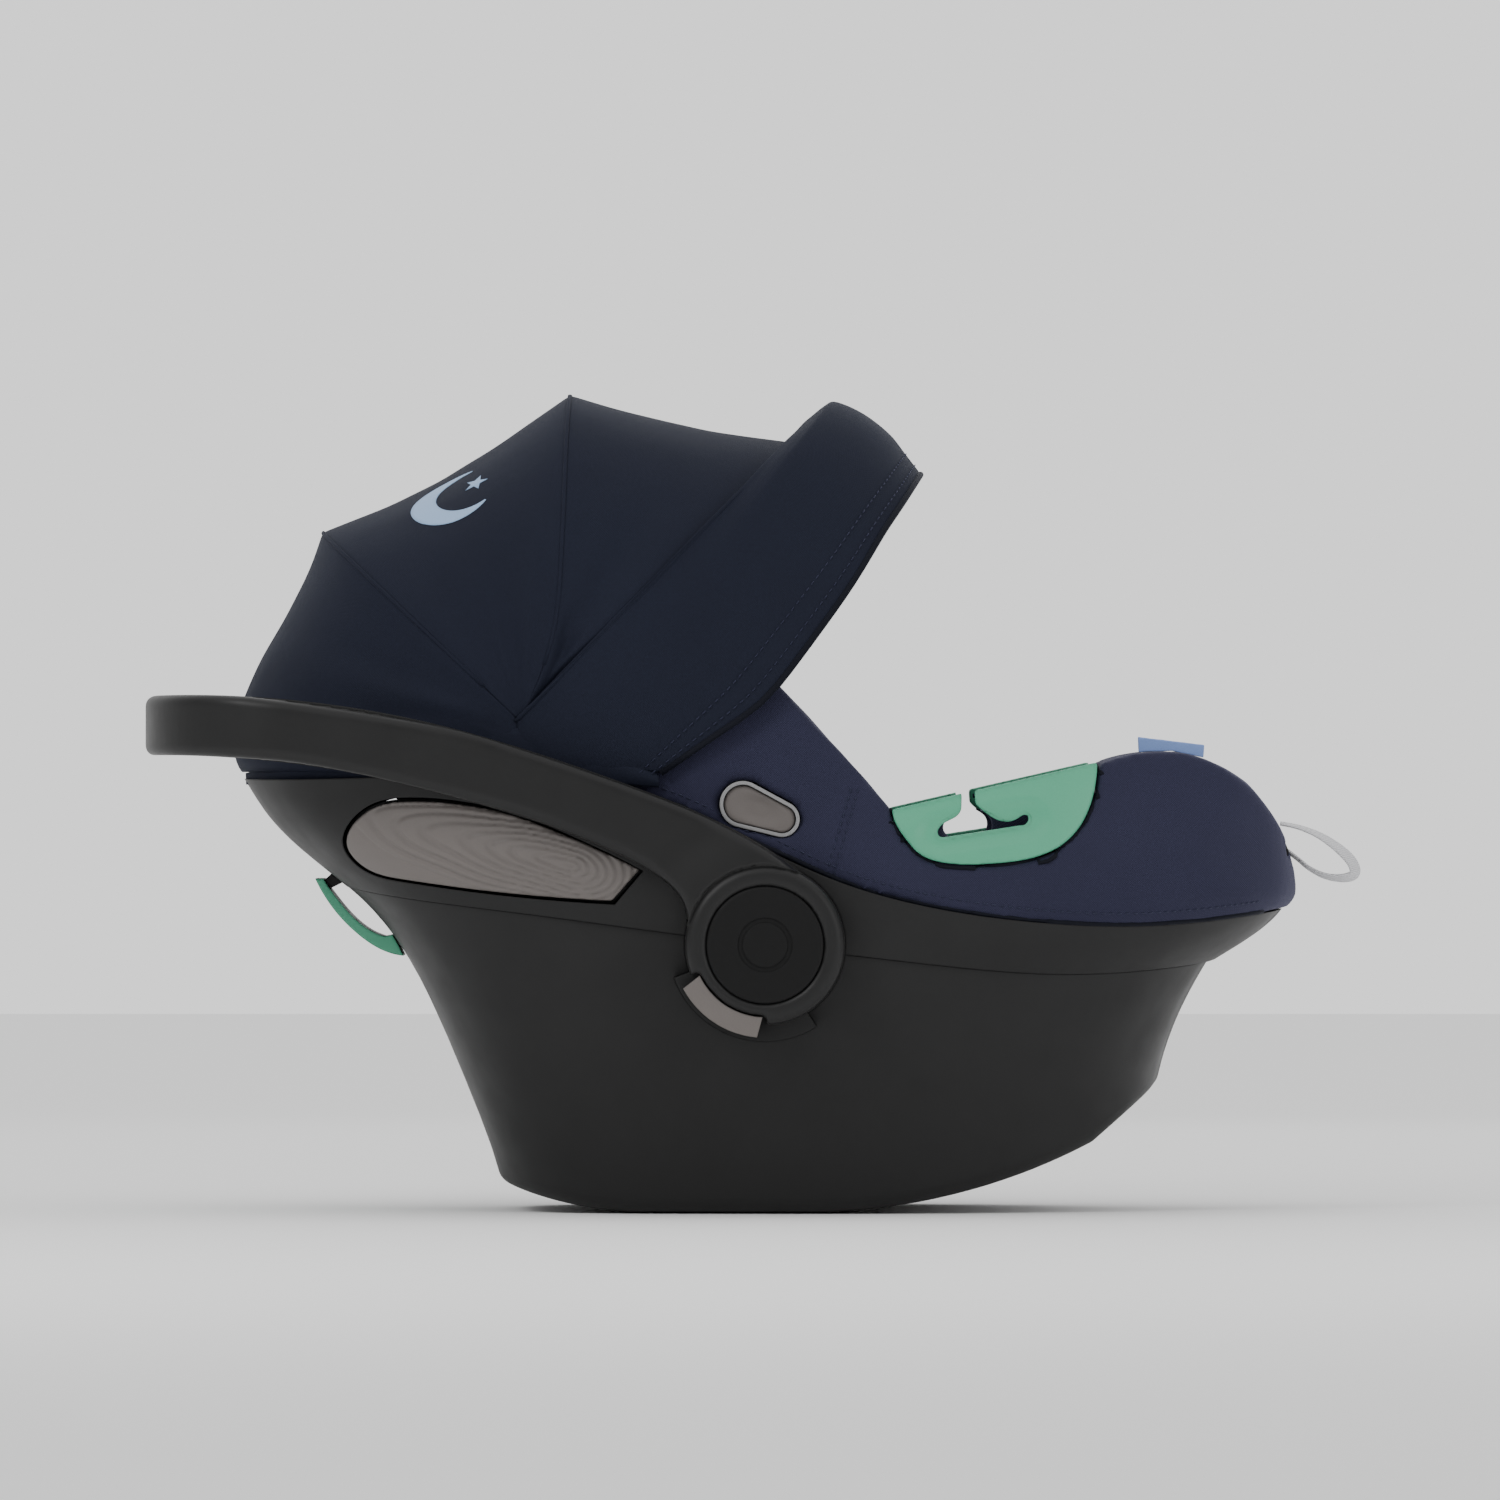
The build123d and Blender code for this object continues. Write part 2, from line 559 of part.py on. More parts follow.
def make_headrest_handle():
    """Squeeze grip above the headrest's pad."""
    grip = on_back(HEADREST_S[1] + 7, HEADREST_S[1] + 20, -26, 26, 6, 16)
    return fillet(grip.edges(), 3)


def strap_profile(path, thickness, grow=0.0):
    low, high = raised(path, -grow), raised(path, thickness + grow)
    return make_face(Polyline(*low, *high[::-1], close=True))


def back_strap(width, grow=0.0):
    """The left shoulder strap, drawn in the backrest's frame as (up, out) points."""
    profile = strap_profile([(30, 54), (46, 38), (88, 14), (120, 10), (204, 8)], STRAP_T, grow)
    across = Plane(origin=(0, -STRAP_Y + width / 2, 0), x_dir=(1, 0, 0), z_dir=(0, -1, 0))
    return BACK * extrude(across * profile, amount=width)


def make_shoulder_pad():
    pad = on_back(92, 168, STRAP_Y - 22, STRAP_Y + 22, 4.5, 18)
    return fillet(pad.edges(), 2.5) - back_strap(STRAP_W + 3, 0.5)


def make_crotch_strap():
    profile = Plane.XZ * strap_profile([(95, 168.6), (104, 162), (109, 150), (111, 129)], STRAP_T)
    return prism(profile, -12.5, 12.5)


def make_tongue():
    blade = on_back(2, 22, 4, 20, 51.5, 53.7)
    return blade + (on_back(15.5, 41, 8, 50, 51.5, 53.7) - on_back(27.5, 37, 20, 48, 50, 56))


def make_buckle():
    housing = fillet(on_back(-42, 15, -25, 25, 45, 61).edges(), 5)
    return housing - [on_back(0, 30, -20.5, 20.5, 51, 54.2), on_back(-33, -7, -13.2, 13.2, 54.4, 70)]


def make_buckle_button():
    button = on_back(-32.8, -7.2, -13, 13, 57.4, 62.6)
    return fillet(button.faces().sort_by(Axis.Z)[-1].edges(), 1.2)


# ---------------------------------------------------------------- pull strap and front adjuster
PULL_PATH = [(344.3, 252.5), (357, 249.8), (370, 244.5), (382, 236.5), (391.5, 227.5), (394.3, 219.6),
             (386, 216.4), (374, 218), (363.5, 223), (356, 229), (344.3, 238)]


def make_pull_strap():
    return prism(Plane.XZ * trace(Spline(*PULL_PATH), 1.6), -6, 6)


def make_adjuster():
    """The strap's outlet at the front, and the release button on top of the thigh support."""
    outlet = block(322, 352, -23, 23, 222, 261) & cover_region(1, raised(RIM_TOP, 0.4))
    outlet -= block(327, 360, -16, 16, 227, 257)
    well = block(249.5, 288.5, -18, 18, 278, 296) - block(253, 285, -14, 14, 284, 300)
    return outlet, well, block(253.5, 284.5, -13.5, 13.5, 289, 299.6)


def make_label():
    return Pos(0, -60, 0) * prism(polygon([(250, 299.3), (272, 300), (292.6, 295.6), (293, 304),
                                           (249.6, 309.2)]), -0.8, 0.8)


# ---------------------------------------------------------------- assembly
def main():
    parts["lower_shell"] = make_lower_shell()
    parts["upper_shell"] = make_upper_shell()
    parts["rocker_pads"] = both(pad_strip())
    parts["base_latch_bars"] = Compound(latch_bars(BAR_R))
    parts["foam_liner"], parts["seat_cover"] = make_upholstery()
    parts["seat_pad"] = make_seat_pad()
    parts["newborn_inlay"] = make_inlay()
    pair("hub_mount", make_hub_mount())
    pair("handle_axle", make_axle())
    pair("lock_gear", make_lock_gear())
    pair("lock_spring", make_lock_spring())
    parts["handle_outer_shell"], parts["handle_inner_shell"] = make_handle()
    pair("hub_cap", make_hub_cap())
    parts["handle_screws"] = both(Compound([handle_screw(x, z) for x, z in SCREW_XS]))
    pair("handle_button", prism(arc_band(46.4, 59.7, 205, 268, 3), 200.5, 214.5))
    pair("side_guard", make_side_guard())
    pair("guard_housing", make_guard_housing())
    pair("release_bezel", make_release_bezel())
    pair("release_button", make_release_button())
    pair("lap_belt_guide", make_lap_guide())
    parts["shoulder_belt_guide"] = make_shoulder_guide()
    parts["belt_guide_clip"] = make_guide_clip()
    parts["canopy_sockets"] = both(make_canopy_socket())
    make_canopy()
    parts["headrest_plate"], parts["headrest_pad"] = make_headrest()
    parts["headrest_handle"] = make_headrest_handle()
    pair("shoulder_strap", back_strap(STRAP_W))
    parts["shoulder_pads"] = both(make_shoulder_pad())
    parts["buckle_tongues"] = both(make_tongue())
    parts["buckle_housing"] = make_buckle()
    parts["buckle_button"] = make_buckle_button()
    parts["crotch_strap"] = make_crotch_strap()
    parts["strap_outlet"], parts["adjuster_well"], parts["adjuster_button"] = make_adjuster()
    parts["pull_strap"] = make_pull_strap()
    parts["label_tag"] = make_label()
    os.makedirs("parts", exist_ok=True)
    for name, shape in parts.items():
        export_step(Compound(shape.solids()), f"parts/{name}.step")


main()
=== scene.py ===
"""Visual model of an infant car seat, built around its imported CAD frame.

Row frame: +X towards the child's feet, +Y to the child's left, +Z up.  Shapes are drawn in
millimetres and turned into metres when a mesh is made.
"""

import json
import math

import bmesh
import bpy
import numpy as np
from mathutils import Matrix, Vector, noise
from mathutils.bvhtree import BVHTree


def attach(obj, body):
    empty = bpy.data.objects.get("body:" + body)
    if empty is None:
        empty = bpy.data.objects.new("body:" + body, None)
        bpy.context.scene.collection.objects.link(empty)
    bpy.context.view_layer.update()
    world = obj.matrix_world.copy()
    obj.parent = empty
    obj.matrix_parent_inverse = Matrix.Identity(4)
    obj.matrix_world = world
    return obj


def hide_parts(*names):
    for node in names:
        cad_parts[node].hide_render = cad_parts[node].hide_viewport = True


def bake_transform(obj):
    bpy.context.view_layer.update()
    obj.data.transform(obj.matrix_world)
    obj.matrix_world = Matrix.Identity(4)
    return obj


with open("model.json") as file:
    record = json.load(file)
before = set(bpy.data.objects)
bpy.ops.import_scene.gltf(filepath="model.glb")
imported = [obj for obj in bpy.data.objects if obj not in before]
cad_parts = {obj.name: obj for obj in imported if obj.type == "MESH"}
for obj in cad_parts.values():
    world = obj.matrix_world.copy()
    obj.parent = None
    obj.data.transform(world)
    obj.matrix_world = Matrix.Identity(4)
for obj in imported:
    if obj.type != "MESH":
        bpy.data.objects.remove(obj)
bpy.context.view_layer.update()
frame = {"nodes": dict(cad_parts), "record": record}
NODES = frame["nodes"]
MM = 0.001
SIDES = (("left", 1), ("right", -1))

HUB = (6.5, 175.0)
PIVOT = (-151.0, 318.6)
CANOPY_W = 181.0
ARCH_POWER = 2.5
REAR_A, MID_A, FRONT_A = 136.7, 83.0, 46.5
BACK_ANGLE = math.radians(34)
BACK_FOOT = (30.0, 150.0)


# ------------------------------------------------------------------ materials
class Graph:
    """A thin wrapper that makes node graphs short to write."""

    def __init__(self, name):
        self.mat = bpy.data.materials.new(name)
        self.mat.use_nodes = True
        self.tree = self.mat.node_tree
        self.shader = self.tree.nodes["Principled BSDF"]
        self.coords = self.add("ShaderNodeTexCoord")
        self.place = self.coords.outputs["Object"]

    def add(self, kind, **inputs):
        node = self.tree.nodes.new(kind)
        for key, value in inputs.items():
            self.put(node.inputs[key.replace("_", " ")], value)
        return node

    def put(self, socket, value):
        if isinstance(value, bpy.types.NodeSocket):
            self.tree.links.new(value, socket)
        else:
            socket.default_value = value

    def math(self, operation, a, b=0.0):
        node = self.tree.nodes.new("ShaderNodeMath")
        node.operation = operation
        self.put(node.inputs[0], a)
        self.put(node.inputs[1], b)
        return node.outputs[0]

    def noise(self, scale, detail=3.0, rough=0.5):
        node = self.add("ShaderNodeTexNoise", Vector=self.place, Scale=scale, Detail=detail, Roughness=rough)
        return node.outputs["Fac"]

    def mix(self, factor, a, b):
        node = self.tree.nodes.new("ShaderNodeMix")
        node.data_type = "RGBA"
        self.put(node.inputs[0], factor)
        self.put(node.inputs[6], a)
        self.put(node.inputs[7], b)
        return node.outputs[2]

    def ramp(self, value, low, high, to_low=0.0, to_high=1.0):
        node = self.tree.nodes.new("ShaderNodeMapRange")
        for socket, v in zip(node.inputs, (value, low, high, to_low, to_high)):
            self.put(socket, v)
        return node.outputs[0]

    def bump(self, height, strength, distance, normal=None):
        node = self.add("ShaderNodeBump", Height=height, Strength=strength, Distance=distance)
        if normal is not None:
            self.put(node.inputs["Normal"], normal)
        return node.outputs[0]

    def weave(self, pitch, skew=0.0):
        """A woven relief from three planes, blended by which way the surface faces."""
        axes = self.tree.nodes.new("ShaderNodeSeparateXYZ")
        self.put(axes.inputs[0], self.place)
        x, y, z = axes.outputs
        facing = self.tree.nodes.new("ShaderNodeSeparateXYZ")
        self.put(facing.inputs[0], self.coords.outputs["Normal"])
        total = None
        k = 2 * math.pi / (pitch * MM)
        for (u, v), n in (((x, z), facing.outputs[1]), ((x, y), facing.outputs[2]), ((y, z), facing.outputs[0])):
            v = self.math("ADD", v, self.math("MULTIPLY", u, skew))
            wave = self.math("MULTIPLY", self.math("SINE", self.math("MULTIPLY", u, k)),
                             self.math("SINE", self.math("MULTIPLY", v, k)))
            share = self.math("MULTIPLY", n, n)
            part = self.math("MULTIPLY", wave, share)
            total = part if total is None else self.math("ADD", total, part)
        return self.math("ADD", self.math("MULTIPLY", total, 0.5), 0.5)


def rgba(color, gain=1.0):
    return (color[0] * gain, color[1] * gain, color[2] * gain, 1.0)


def fabric(name, color, pitch=1.3, rough=0.85, light=1.9, sheen=0.35, tint=(0.6, 0.65, 0.9), skew=0.0,
           relief=0.35, melange=0.35):
    g = Graph(name)
    weave = g.weave(pitch, skew)
    blotch = g.noise(9.0, 4.0, 0.55)
    fleck = g.noise(1400.0, 2.0)
    # Painted shade and highlight: the weave's hollows are painted darker and its thread crowns lighter, as light
    # would fall on them. The flecks and blotches below are the yarn's own tone.
    shade = g.mix(g.ramp(weave, 0.1, 0.95), rgba(color, 0.72), rgba(color, light))
    shade = g.mix(g.math("MULTIPLY", g.ramp(fleck, 0.35, 0.75), melange), shade, rgba(color, light * 1.35))
    shade = g.mix(g.ramp(blotch, 0.35, 0.7, 0.0, 0.3), shade, rgba(color, 0.8))
    g.put(g.shader.inputs["Base Color"], shade)
    g.put(g.shader.inputs["Roughness"], g.ramp(weave, 0.0, 1.0, rough, rough - 0.14))
    g.shader.inputs["Sheen Weight"].default_value = sheen
    g.shader.inputs["Sheen Roughness"].default_value = 0.45
    g.shader.inputs["Sheen Tint"].default_value = (*tint, 1.0)
    g.shader.inputs["Specular IOR Level"].default_value = 0.16
    soft = g.bump(g.noise(60.0, 3.0), 0.12, 0.002)
    g.put(g.shader.inputs["Normal"], g.bump(weave, relief, 0.0004, soft))
    return g.mat


def plastic(name, color, rough=0.5, grain=0.10, edge=0.0012, gloss=0.5, mottle=0.25, metal=0.0):
    g = Graph(name)
    fine = g.noise(1500.0, 2.0, 0.6)
    wide = g.noise(7.0, 5.0, 0.6)
    shade = g.mix(g.ramp(wide, 0.3, 0.75, 0.0, mottle), rgba(color), rgba(color, 1.35))
    shade = g.mix(g.ramp(fine, 0.45, 0.7, 0.0, 0.25), shade, rgba(color, 0.75))
    g.put(g.shader.inputs["Base Color"], shade)
    g.put(g.shader.inputs["Roughness"], g.ramp(g.noise(28.0, 4.0), 0.3, 0.7, rough - 0.05, rough + 0.06))
    g.shader.inputs["Specular IOR Level"].default_value = gloss
    g.shader.inputs["Metallic"].default_value = metal
    rounded = g.add("ShaderNodeBevel", Radius=edge)
    rounded.samples = 4
    g.put(g.shader.inputs["Normal"], g.bump(fine, grain, 0.0003, rounded.outputs[0]))
    return g.mat


def metal(name, color, rough):
    g = Graph(name)
    streak = g.noise(420.0, 4.0)
    g.put(g.shader.inputs["Base Color"], g.mix(g.ramp(streak, 0.3, 0.7), rgba(color, 0.85), rgba(color, 1.1)))
    g.put(g.shader.inputs["Roughness"], g.ramp(streak, 0.3, 0.7, rough - 0.06, rough + 0.08))
    g.shader.inputs["Metallic"].default_value = 1.0
    g.put(g.shader.inputs["Normal"], g.bump(streak, 0.05, 0.0002))
    return g.mat


def webbing(name, color, pitch=1.6):
    g = Graph(name)
    weave = g.weave(pitch, 0.8)
    # Painted shade and highlight: the weave's hollows are painted darker and its thread crowns lighter, as light
    # would fall on them.
    shade = g.mix(g.ramp(weave, 0.1, 0.9), rgba(color, 0.6), rgba(color, 1.5))
    g.put(g.shader.inputs["Base Color"], shade)
    g.shader.inputs["Roughness"].default_value = 0.62
    g.shader.inputs["Sheen Weight"].default_value = 0.15
    g.put(g.shader.inputs["Normal"], g.bump(weave, 0.5, 0.0004))
    return g.mat


MAT = {
    "shell_plastic": plastic("shell_plastic", (0.0112, 0.0112, 0.0114), 0.52, 0.10, 0.0016, 0.30),
    "handle_plastic": plastic("handle_plastic", (0.0088, 0.0088, 0.0090), 0.42, 0.07, 0.0016, 0.34),
    "mechanism_plastic": plastic("mechanism_plastic", (0.008, 0.008, 0.009), 0.5, gloss=0.3),
    "taupe_plastic": plastic("taupe_plastic", (0.146, 0.130, 0.122), 0.44, 0.05, 0.0012, 0.4),
    # A darker copy of the handle plastic: painted shade that makes the hub caps sit darker than the ring round
    # them.
    "cap_plastic_painted_shade": plastic("cap_plastic_painted_shade", (0.0060, 0.0060, 0.0062), 0.5, 0.08, 0.0016, 0.2),
    "green_plastic": plastic("green_plastic", (0.088, 0.400, 0.240), 0.38, 0.04, 0.0020, 0.4),
    "red_plastic": plastic("red_plastic", (0.45, 0.02, 0.015), 0.35, 0.04),
    "bright_trim": plastic("bright_trim", (0.30, 0.30, 0.305), 0.34, 0.03, 0.0012, 0.7, 0.1, 0.35),
    "steel": metal("steel", (0.55, 0.55, 0.56), 0.32),
    "rubber": plastic("rubber", (0.012, 0.012, 0.012), 0.8, 0.2),
    "liner_foam": fabric("liner_foam", (0.03, 0.03, 0.032), 3.0, 0.95, 1.5, 0.05, relief=0.5),
    "cover_fabric": fabric("cover_fabric", (0.0190, 0.0195, 0.0400), 1.5, 0.86, 1.7, 0.12, (0.55, 0.55, 0.9)),
    "pad_fabric": fabric("pad_fabric", (0.017, 0.018, 0.036), 2.0, 0.88, 1.9, 0.35, (0.6, 0.6, 0.9), 0.35, 0.5),
    "inlay_fabric": fabric("inlay_fabric", (0.085, 0.083, 0.088), 2.2, 0.9, 1.5, 0.3, (0.9, 0.9, 0.95), 0.5, 0.5),
    "canopy_fabric": fabric("canopy_fabric", (0.0082, 0.0100, 0.0195), 1.1, 0.86, 1.7, 0.03, (0.5, 0.6, 0.9)),
    "webbing": webbing("webbing", (0.014, 0.014, 0.016)),
    "pull_webbing": webbing("pull_webbing", (0.60, 0.60, 0.62), 1.2),
    "label_fabric": fabric("label_fabric", (0.27, 0.40, 0.78), 0.9, 0.7, 1.25, 0.1, relief=0.2, melange=0.1),
    "emblem_print": fabric("emblem_print", (0.36, 0.52, 0.76), 1.1, 0.6, 1.15, 0.05, relief=0.2, melange=0.1),
    "binding": fabric("binding", (0.0035, 0.0042, 0.0085), 0.9, 0.8, 1.6, 0.05),
    "thread": fabric("thread", (0.020, 0.022, 0.045), 0.7, 0.7, 1.5, 0.2),
}
# The hub caps take the darker copy of the handle plastic, which is painted shade.
for entry in frame["record"]["subparts"]:
    for slot in NODES[entry["node"]].material_slots:
        slot.material = MAT["cap_plastic_painted_shade" if "hub_cap" in entry["node"] else entry["material_slot"]]
for bow in ("canopy_rear_bow", "canopy_mid_bow", "canopy_front_bow"):
    # drawn in a little, so that the wire stays under the fabric
    slim = NODES[bow].modifiers.new("slim", "DISPLACE")
    slim.mid_level, slim.strength = 0.0, -0.0016
    for slot in NODES[bow].material_slots:
        slot.material = MAT["mechanism_plastic"]


# ------------------------------------------------------------------ mesh helpers
def smoothstep(a, b, v):
    t = np.clip((np.asarray(v, float) - a) / (b - a), 0, 1)
    return t * t * (3 - 2 * t)


def new_mesh(name, points, faces, material):
    """A smooth-shaded object from points in millimetres."""
    mesh = bpy.data.meshes.new(name)
    mesh.from_pydata([tuple(float(c) * MM for c in p) for p in points], [], faces)
    mesh.validate()
    mesh.update()
    obj = bpy.data.objects.new(name, mesh)
    bpy.context.scene.collection.objects.link(obj)
    mesh.materials.append(MAT[material])
    mesh.shade_smooth()
    return obj


def grid_mesh(name, rows, material, closed=False):
    """A quad mesh through rows of points, all of one length."""
    wide = len(rows[0])
    faces = []
    for i in range(len(rows) - 1):
        for j in range(wide if closed else wide - 1):
            k = (j + 1) % wide
            faces.append((i * wide + j, i * wide + k, (i + 1) * wide + k, (i + 1) * wide + j))
    return new_mesh(name, [p for row in rows for p in row], faces, material)


def apply_modifiers(obj):
    bpy.context.view_layer.update()
    graph = bpy.context.evaluated_depsgraph_get()
    mesh = bpy.data.meshes.new_from_object(obj.evaluated_get(graph))
    obj.modifiers.clear()
    obj.data = mesh
    return obj


def coords(obj):
    co = np.zeros(len(obj.data.vertices) * 3)
    obj.data.vertices.foreach_get("co", co)
    return co.reshape(-1, 3) / MM


def set_coords(obj, co):
    obj.data.vertices.foreach_set("co", (np.asarray(co) * MM).ravel())
    obj.data.update()


def normals(obj):
    no = np.zeros(len(obj.data.vertices) * 3)
    obj.data.vertices.foreach_get("normal", no)
    return no.reshape(-1, 3)


def wrinkle(co, size, seed=0.0):
    """Smooth noise from about -1 to 1 at each point."""
    scale = 1 / size
    return np.array([noise.noise(Vector((p[0] * scale + seed, p[1] * scale, p[2] * scale))) for p in co])


def displace(obj, amount):
    set_coords(obj, coords(obj) + normals(obj) * np.asarray(amount)[:, None])


def remesh_copy(name, node, voxel, material, smooth):
    """A rounded mesh from a CAD node: its surface re-sampled and relaxed."""
    surface = bmesh.new()
    surface.from_mesh(NODES[node].data)
    mesh = bpy.data.meshes.new(name)
    surface.to_mesh(mesh)
    surface.free()
    obj = bpy.data.objects.new(name, mesh)
    bpy.context.scene.collection.objects.link(obj)
    step = obj.modifiers.new("r", "REMESH")
    step.mode, step.voxel_size = "VOXEL", voxel * MM
    relax = obj.modifiers.new("s", "SMOOTH")
    relax.iterations, relax.factor = smooth, 0.5
    apply_modifiers(obj)
    obj.data.materials.clear()
    obj.data.materials.append(MAT[material])
    obj.data.shade_smooth()
    return obj


def inflate(obj, cap, pressure=4.0, frames=20):
    """Swells a closed pad with cloth pressure, each point moving no more than cap."""
    before = coords(obj)
    cloth = obj.modifiers.new("c", "CLOTH")
    settings = cloth.settings
    settings.use_pressure, settings.uniform_pressure_force = True, pressure
    settings.quality, settings.tension_stiffness = 5, 8
    settings.shear_stiffness, settings.bending_stiffness = 4, 0.6
    settings.effector_weights.gravity = 0
    cloth.collision_settings.use_collision = False
    cloth.point_cache.frame_start, cloth.point_cache.frame_end = 1, frames
    for f in range(1, frames + 1):
        bpy.context.scene.frame_set(f)
    apply_modifiers(obj)
    move = coords(obj) - before
    length = np.linalg.norm(move, axis=1)
    set_coords(obj, before + move * np.minimum(1, cap / np.maximum(length, 1e-9))[:, None])
    bpy.context.scene.frame_set(1)
    relax = obj.modifiers.new("s", "SMOOTH")
    relax.iterations, relax.factor = 3, 0.5
    obj.modifiers.new("d", "SUBSURF").levels = 1
    apply_modifiers(obj)
    obj.data.shade_smooth()
    return obj


def resample(points, step):
    """Points a fixed distance apart along a path."""
    points = [Vector(p) for p in points]
    out, carry = [points[0]], 0.0
    for a, b in zip(points, points[1:]):
        length = (b - a).length
        at = step - carry
        while at <= length:
            out.append(a.lerp(b, at / length))
            at += step
        carry = (carry + length) % step
    return out


def curve_points(points, per):
    """A Catmull-Rom curve through the points."""
    points = [Vector(p) for p in points]
    n = len(points)
    out = []
    for i in range(n - 1):
        a, b, c, d = points[max(i - 1, 0)], points[i], points[i + 1], points[min(i + 2, n - 1)]
        for k in range(per):
            t = k / per
            out.append(0.5 * (2 * b + (c - a) * t + (2 * a - 5 * b + 4 * c - d) * t * t
                              + (3 * b - a - 3 * c + d) * t ** 3))
    out.append(points[-1])
    return out


def close_ends(obj, sides):
    """Caps the open ends of a tube of up to so many sides."""
    work = bmesh.new()
    work.from_mesh(obj.data)
    bmesh.ops.holes_fill(work, edges=[e for e in work.edges if e.is_boundary], sides=sides)
    bmesh.ops.recalc_face_normals(work, faces=work.faces)
    work.to_mesh(obj.data)
    work.free()


def tube(name, path, radius, material, sides, outward, flat=1.0):
    """A round or flattened cord along a path; outward is the surface's normal at each point."""
    path = [Vector(p) for p in path]
    n = len(path)
    rows = []
    for i, p in enumerate(path):
        along = (path[min(i + 1, n - 1)] - path[max(i - 1, 0)]).normalized()
        side = along.cross(Vector(outward[i])).normalized()
        up = side.cross(along).normalized()
        rows.append([p + side * (radius * math.cos(2 * math.pi * k / sides))
                     + up * (radius * flat * math.sin(2 * math.pi * k / sides)) for k in range(sides)])
    obj = grid_mesh(name, rows, material, closed=True)
    close_ends(obj, sides + 1)
    return obj


def tree_of(obj):
    """A ray-casting tree over an object's mesh, in millimetres."""
    verts = [tuple(v.co / MM) for v in obj.data.vertices]
    return BVHTree.FromPolygons(verts, [tuple(f.vertices) for f in obj.data.polygons])


def onto(tree, points, side, lift):
    """Side-view (x, z) points thrown onto a surface from outside; gives points and normals."""
    found, outward = [], []
    for x, z in points:
        hit, normal, _, _ = tree.ray_cast(Vector((x, side * 320, z)), Vector((0, -side, 0)), 255)
        if hit is None:
            hit, normal, _, _ = tree.find_nearest(Vector((x, side * 180, z)))
        if normal.y * side < 0:
            normal = -normal
        found.append(hit + normal * lift)
        outward.append(normal)
    return found, outward


def stitches(name, path, outward):
    """Short raised thread stitches along a path."""
    length, gap, radius = 3.4, 2.2, 0.42
    points, faces = [], []
    dots = resample(path, length + gap)
    ups = []
    for d in dots:
        k = min(range(len(path)), key=lambda i: (Vector(path[i]) - d).length_squared)
        ups.append(Vector(outward[k]))
    for i in range(len(dots) - 1):
        along = (dots[i + 1] - dots[i]).normalized()
        up = (ups[i] - along * ups[i].dot(along)).normalized()
        side = along.cross(up)
        base = len(points)
        for s, w in ((0.0, 0.35), (0.25, 1.0), (0.75, 1.0), (1.0, 0.35)):
            centre = dots[i] + along * (length * s) + up * (0.10 if w < 1 else 0.25)
            for k in range(6):
                a = 2 * math.pi * k / 6
                points.append(centre + side * (radius * w * math.cos(a)) + up * (radius * w * math.sin(a)))
        for r in range(3):
            for k in range(6):
                j = (k + 1) % 6
                faces.append((base + r * 6 + k, base + r * 6 + j, base + r * 6 + 6 + j, base + r * 6 + 6 + k))
        faces.append(tuple(base + k for k in range(6))[::-1])
        faces.append(tuple(base + 18 + k for k in range(6)))
    return new_mesh(name, points, faces, "thread")


# ------------------------------------------------------------------ canopy
def polar(radius, angle):
    """A side-view point about the canopy pivot."""
    return (PIVOT[0] + radius * math.cos(math.radians(angle)), PIVOT[1] + radius * math.sin(math.radians(angle)))


def arch(foot, apex, width=CANOPY_W, power=ARCH_POWER, steps=56, path=None):
    """A rounded arch from foot to apex (both side-view points) and down to the far foot."""
    out = []
    for i in range(steps + 1):
        phi = math.pi * i / steps
        c, s = math.cos(phi), max(0.0, math.sin(phi))
        rise = s ** (2 / power)
        y = -width * math.copysign(abs(c) ** (2 / power), c)
        if path is None:
            x, z = foot[0] + (apex[0] - foot[0]) * rise, foot[1] + (apex[1] - foot[1]) * rise
        else:
            x, z = path(rise)
        out.append(Vector((x, y, z)))
    return out


def along_points(points):
    """A function from 0..1 to the side-view point at that share of a line's length."""
    line = [Vector((x, 0, z)) for x, z in points]
    line = curve_points(line, 8)
    marks = [0.0]
    for a, b in zip(line, line[1:]):
        marks.append(marks[-1] + (b - a).length)

    def at(share):
        goal = share * marks[-1]
        for i in range(len(line) - 1):
            if marks[i + 1] >= goal:
                t = (goal - marks[i]) / max(1e-9, marks[i + 1] - marks[i])
                p = line[i].lerp(line[i + 1], t)
                return p.x, p.z
        return line[-1].x, line[-1].z
    return at


HEM = arch((-151, 285.5), (-336, 285.5), 183)
REAR_ARCH = arch(polar(3, REAR_A), polar(181.5, REAR_A))
MID_LINE = [polar(3, MID_A), (-140, 345), (-128.5, 385), (-124.5, 440), (-122.5, 500), (-121, 533)]
MID_ARCH = arch(None, None, path=along_points(MID_LINE))
FRONT_ARCH = arch(polar(3, 42.5), polar(267.0, 42.5), 180.3)
LIP_LINE = along_points([(-60.6, 285.4), (-34.2, 303.8), (-1.3, 326.5), (15.2, 343.1), (41.3, 377.6), (64.5, 410.5),
                         (84.3, 443.4), (97.4, 463.1), (109.0, 481.3)])


def between(first, last, steps, bulge, lean=1.0):
    """Rows of points from one arch to the next; bulge is the outward swell mid-way."""
    rows = []
    for i in range(steps + 1):
        u = i / steps
        row = []
        for a, b in zip(first, last):
            p = a.lerp(b, u)
            out = Vector((p.x - PIVOT[0], 0, p.z - PIVOT[1]))
            reach = out.length
            share = min(1.0, reach / 170.0)
            swell = bulge * math.sin(math.pi * u ** lean) * (1.9 * (1 - 1.12 * u) if lean < 1 else 1) * share
            top = 1 - abs(p.y) / CANOPY_W
            side = Vector((0, math.copysign(1, p.y), 0)) * swell * 0.55 * min(1.0, 3 * (1 - top)) * share
            p = p + (out.normalized() * swell if reach > 1 else Vector()) * min(1.0, 0.35 + top) + side
            row.append(p)
        rows.append(row)
    return rows


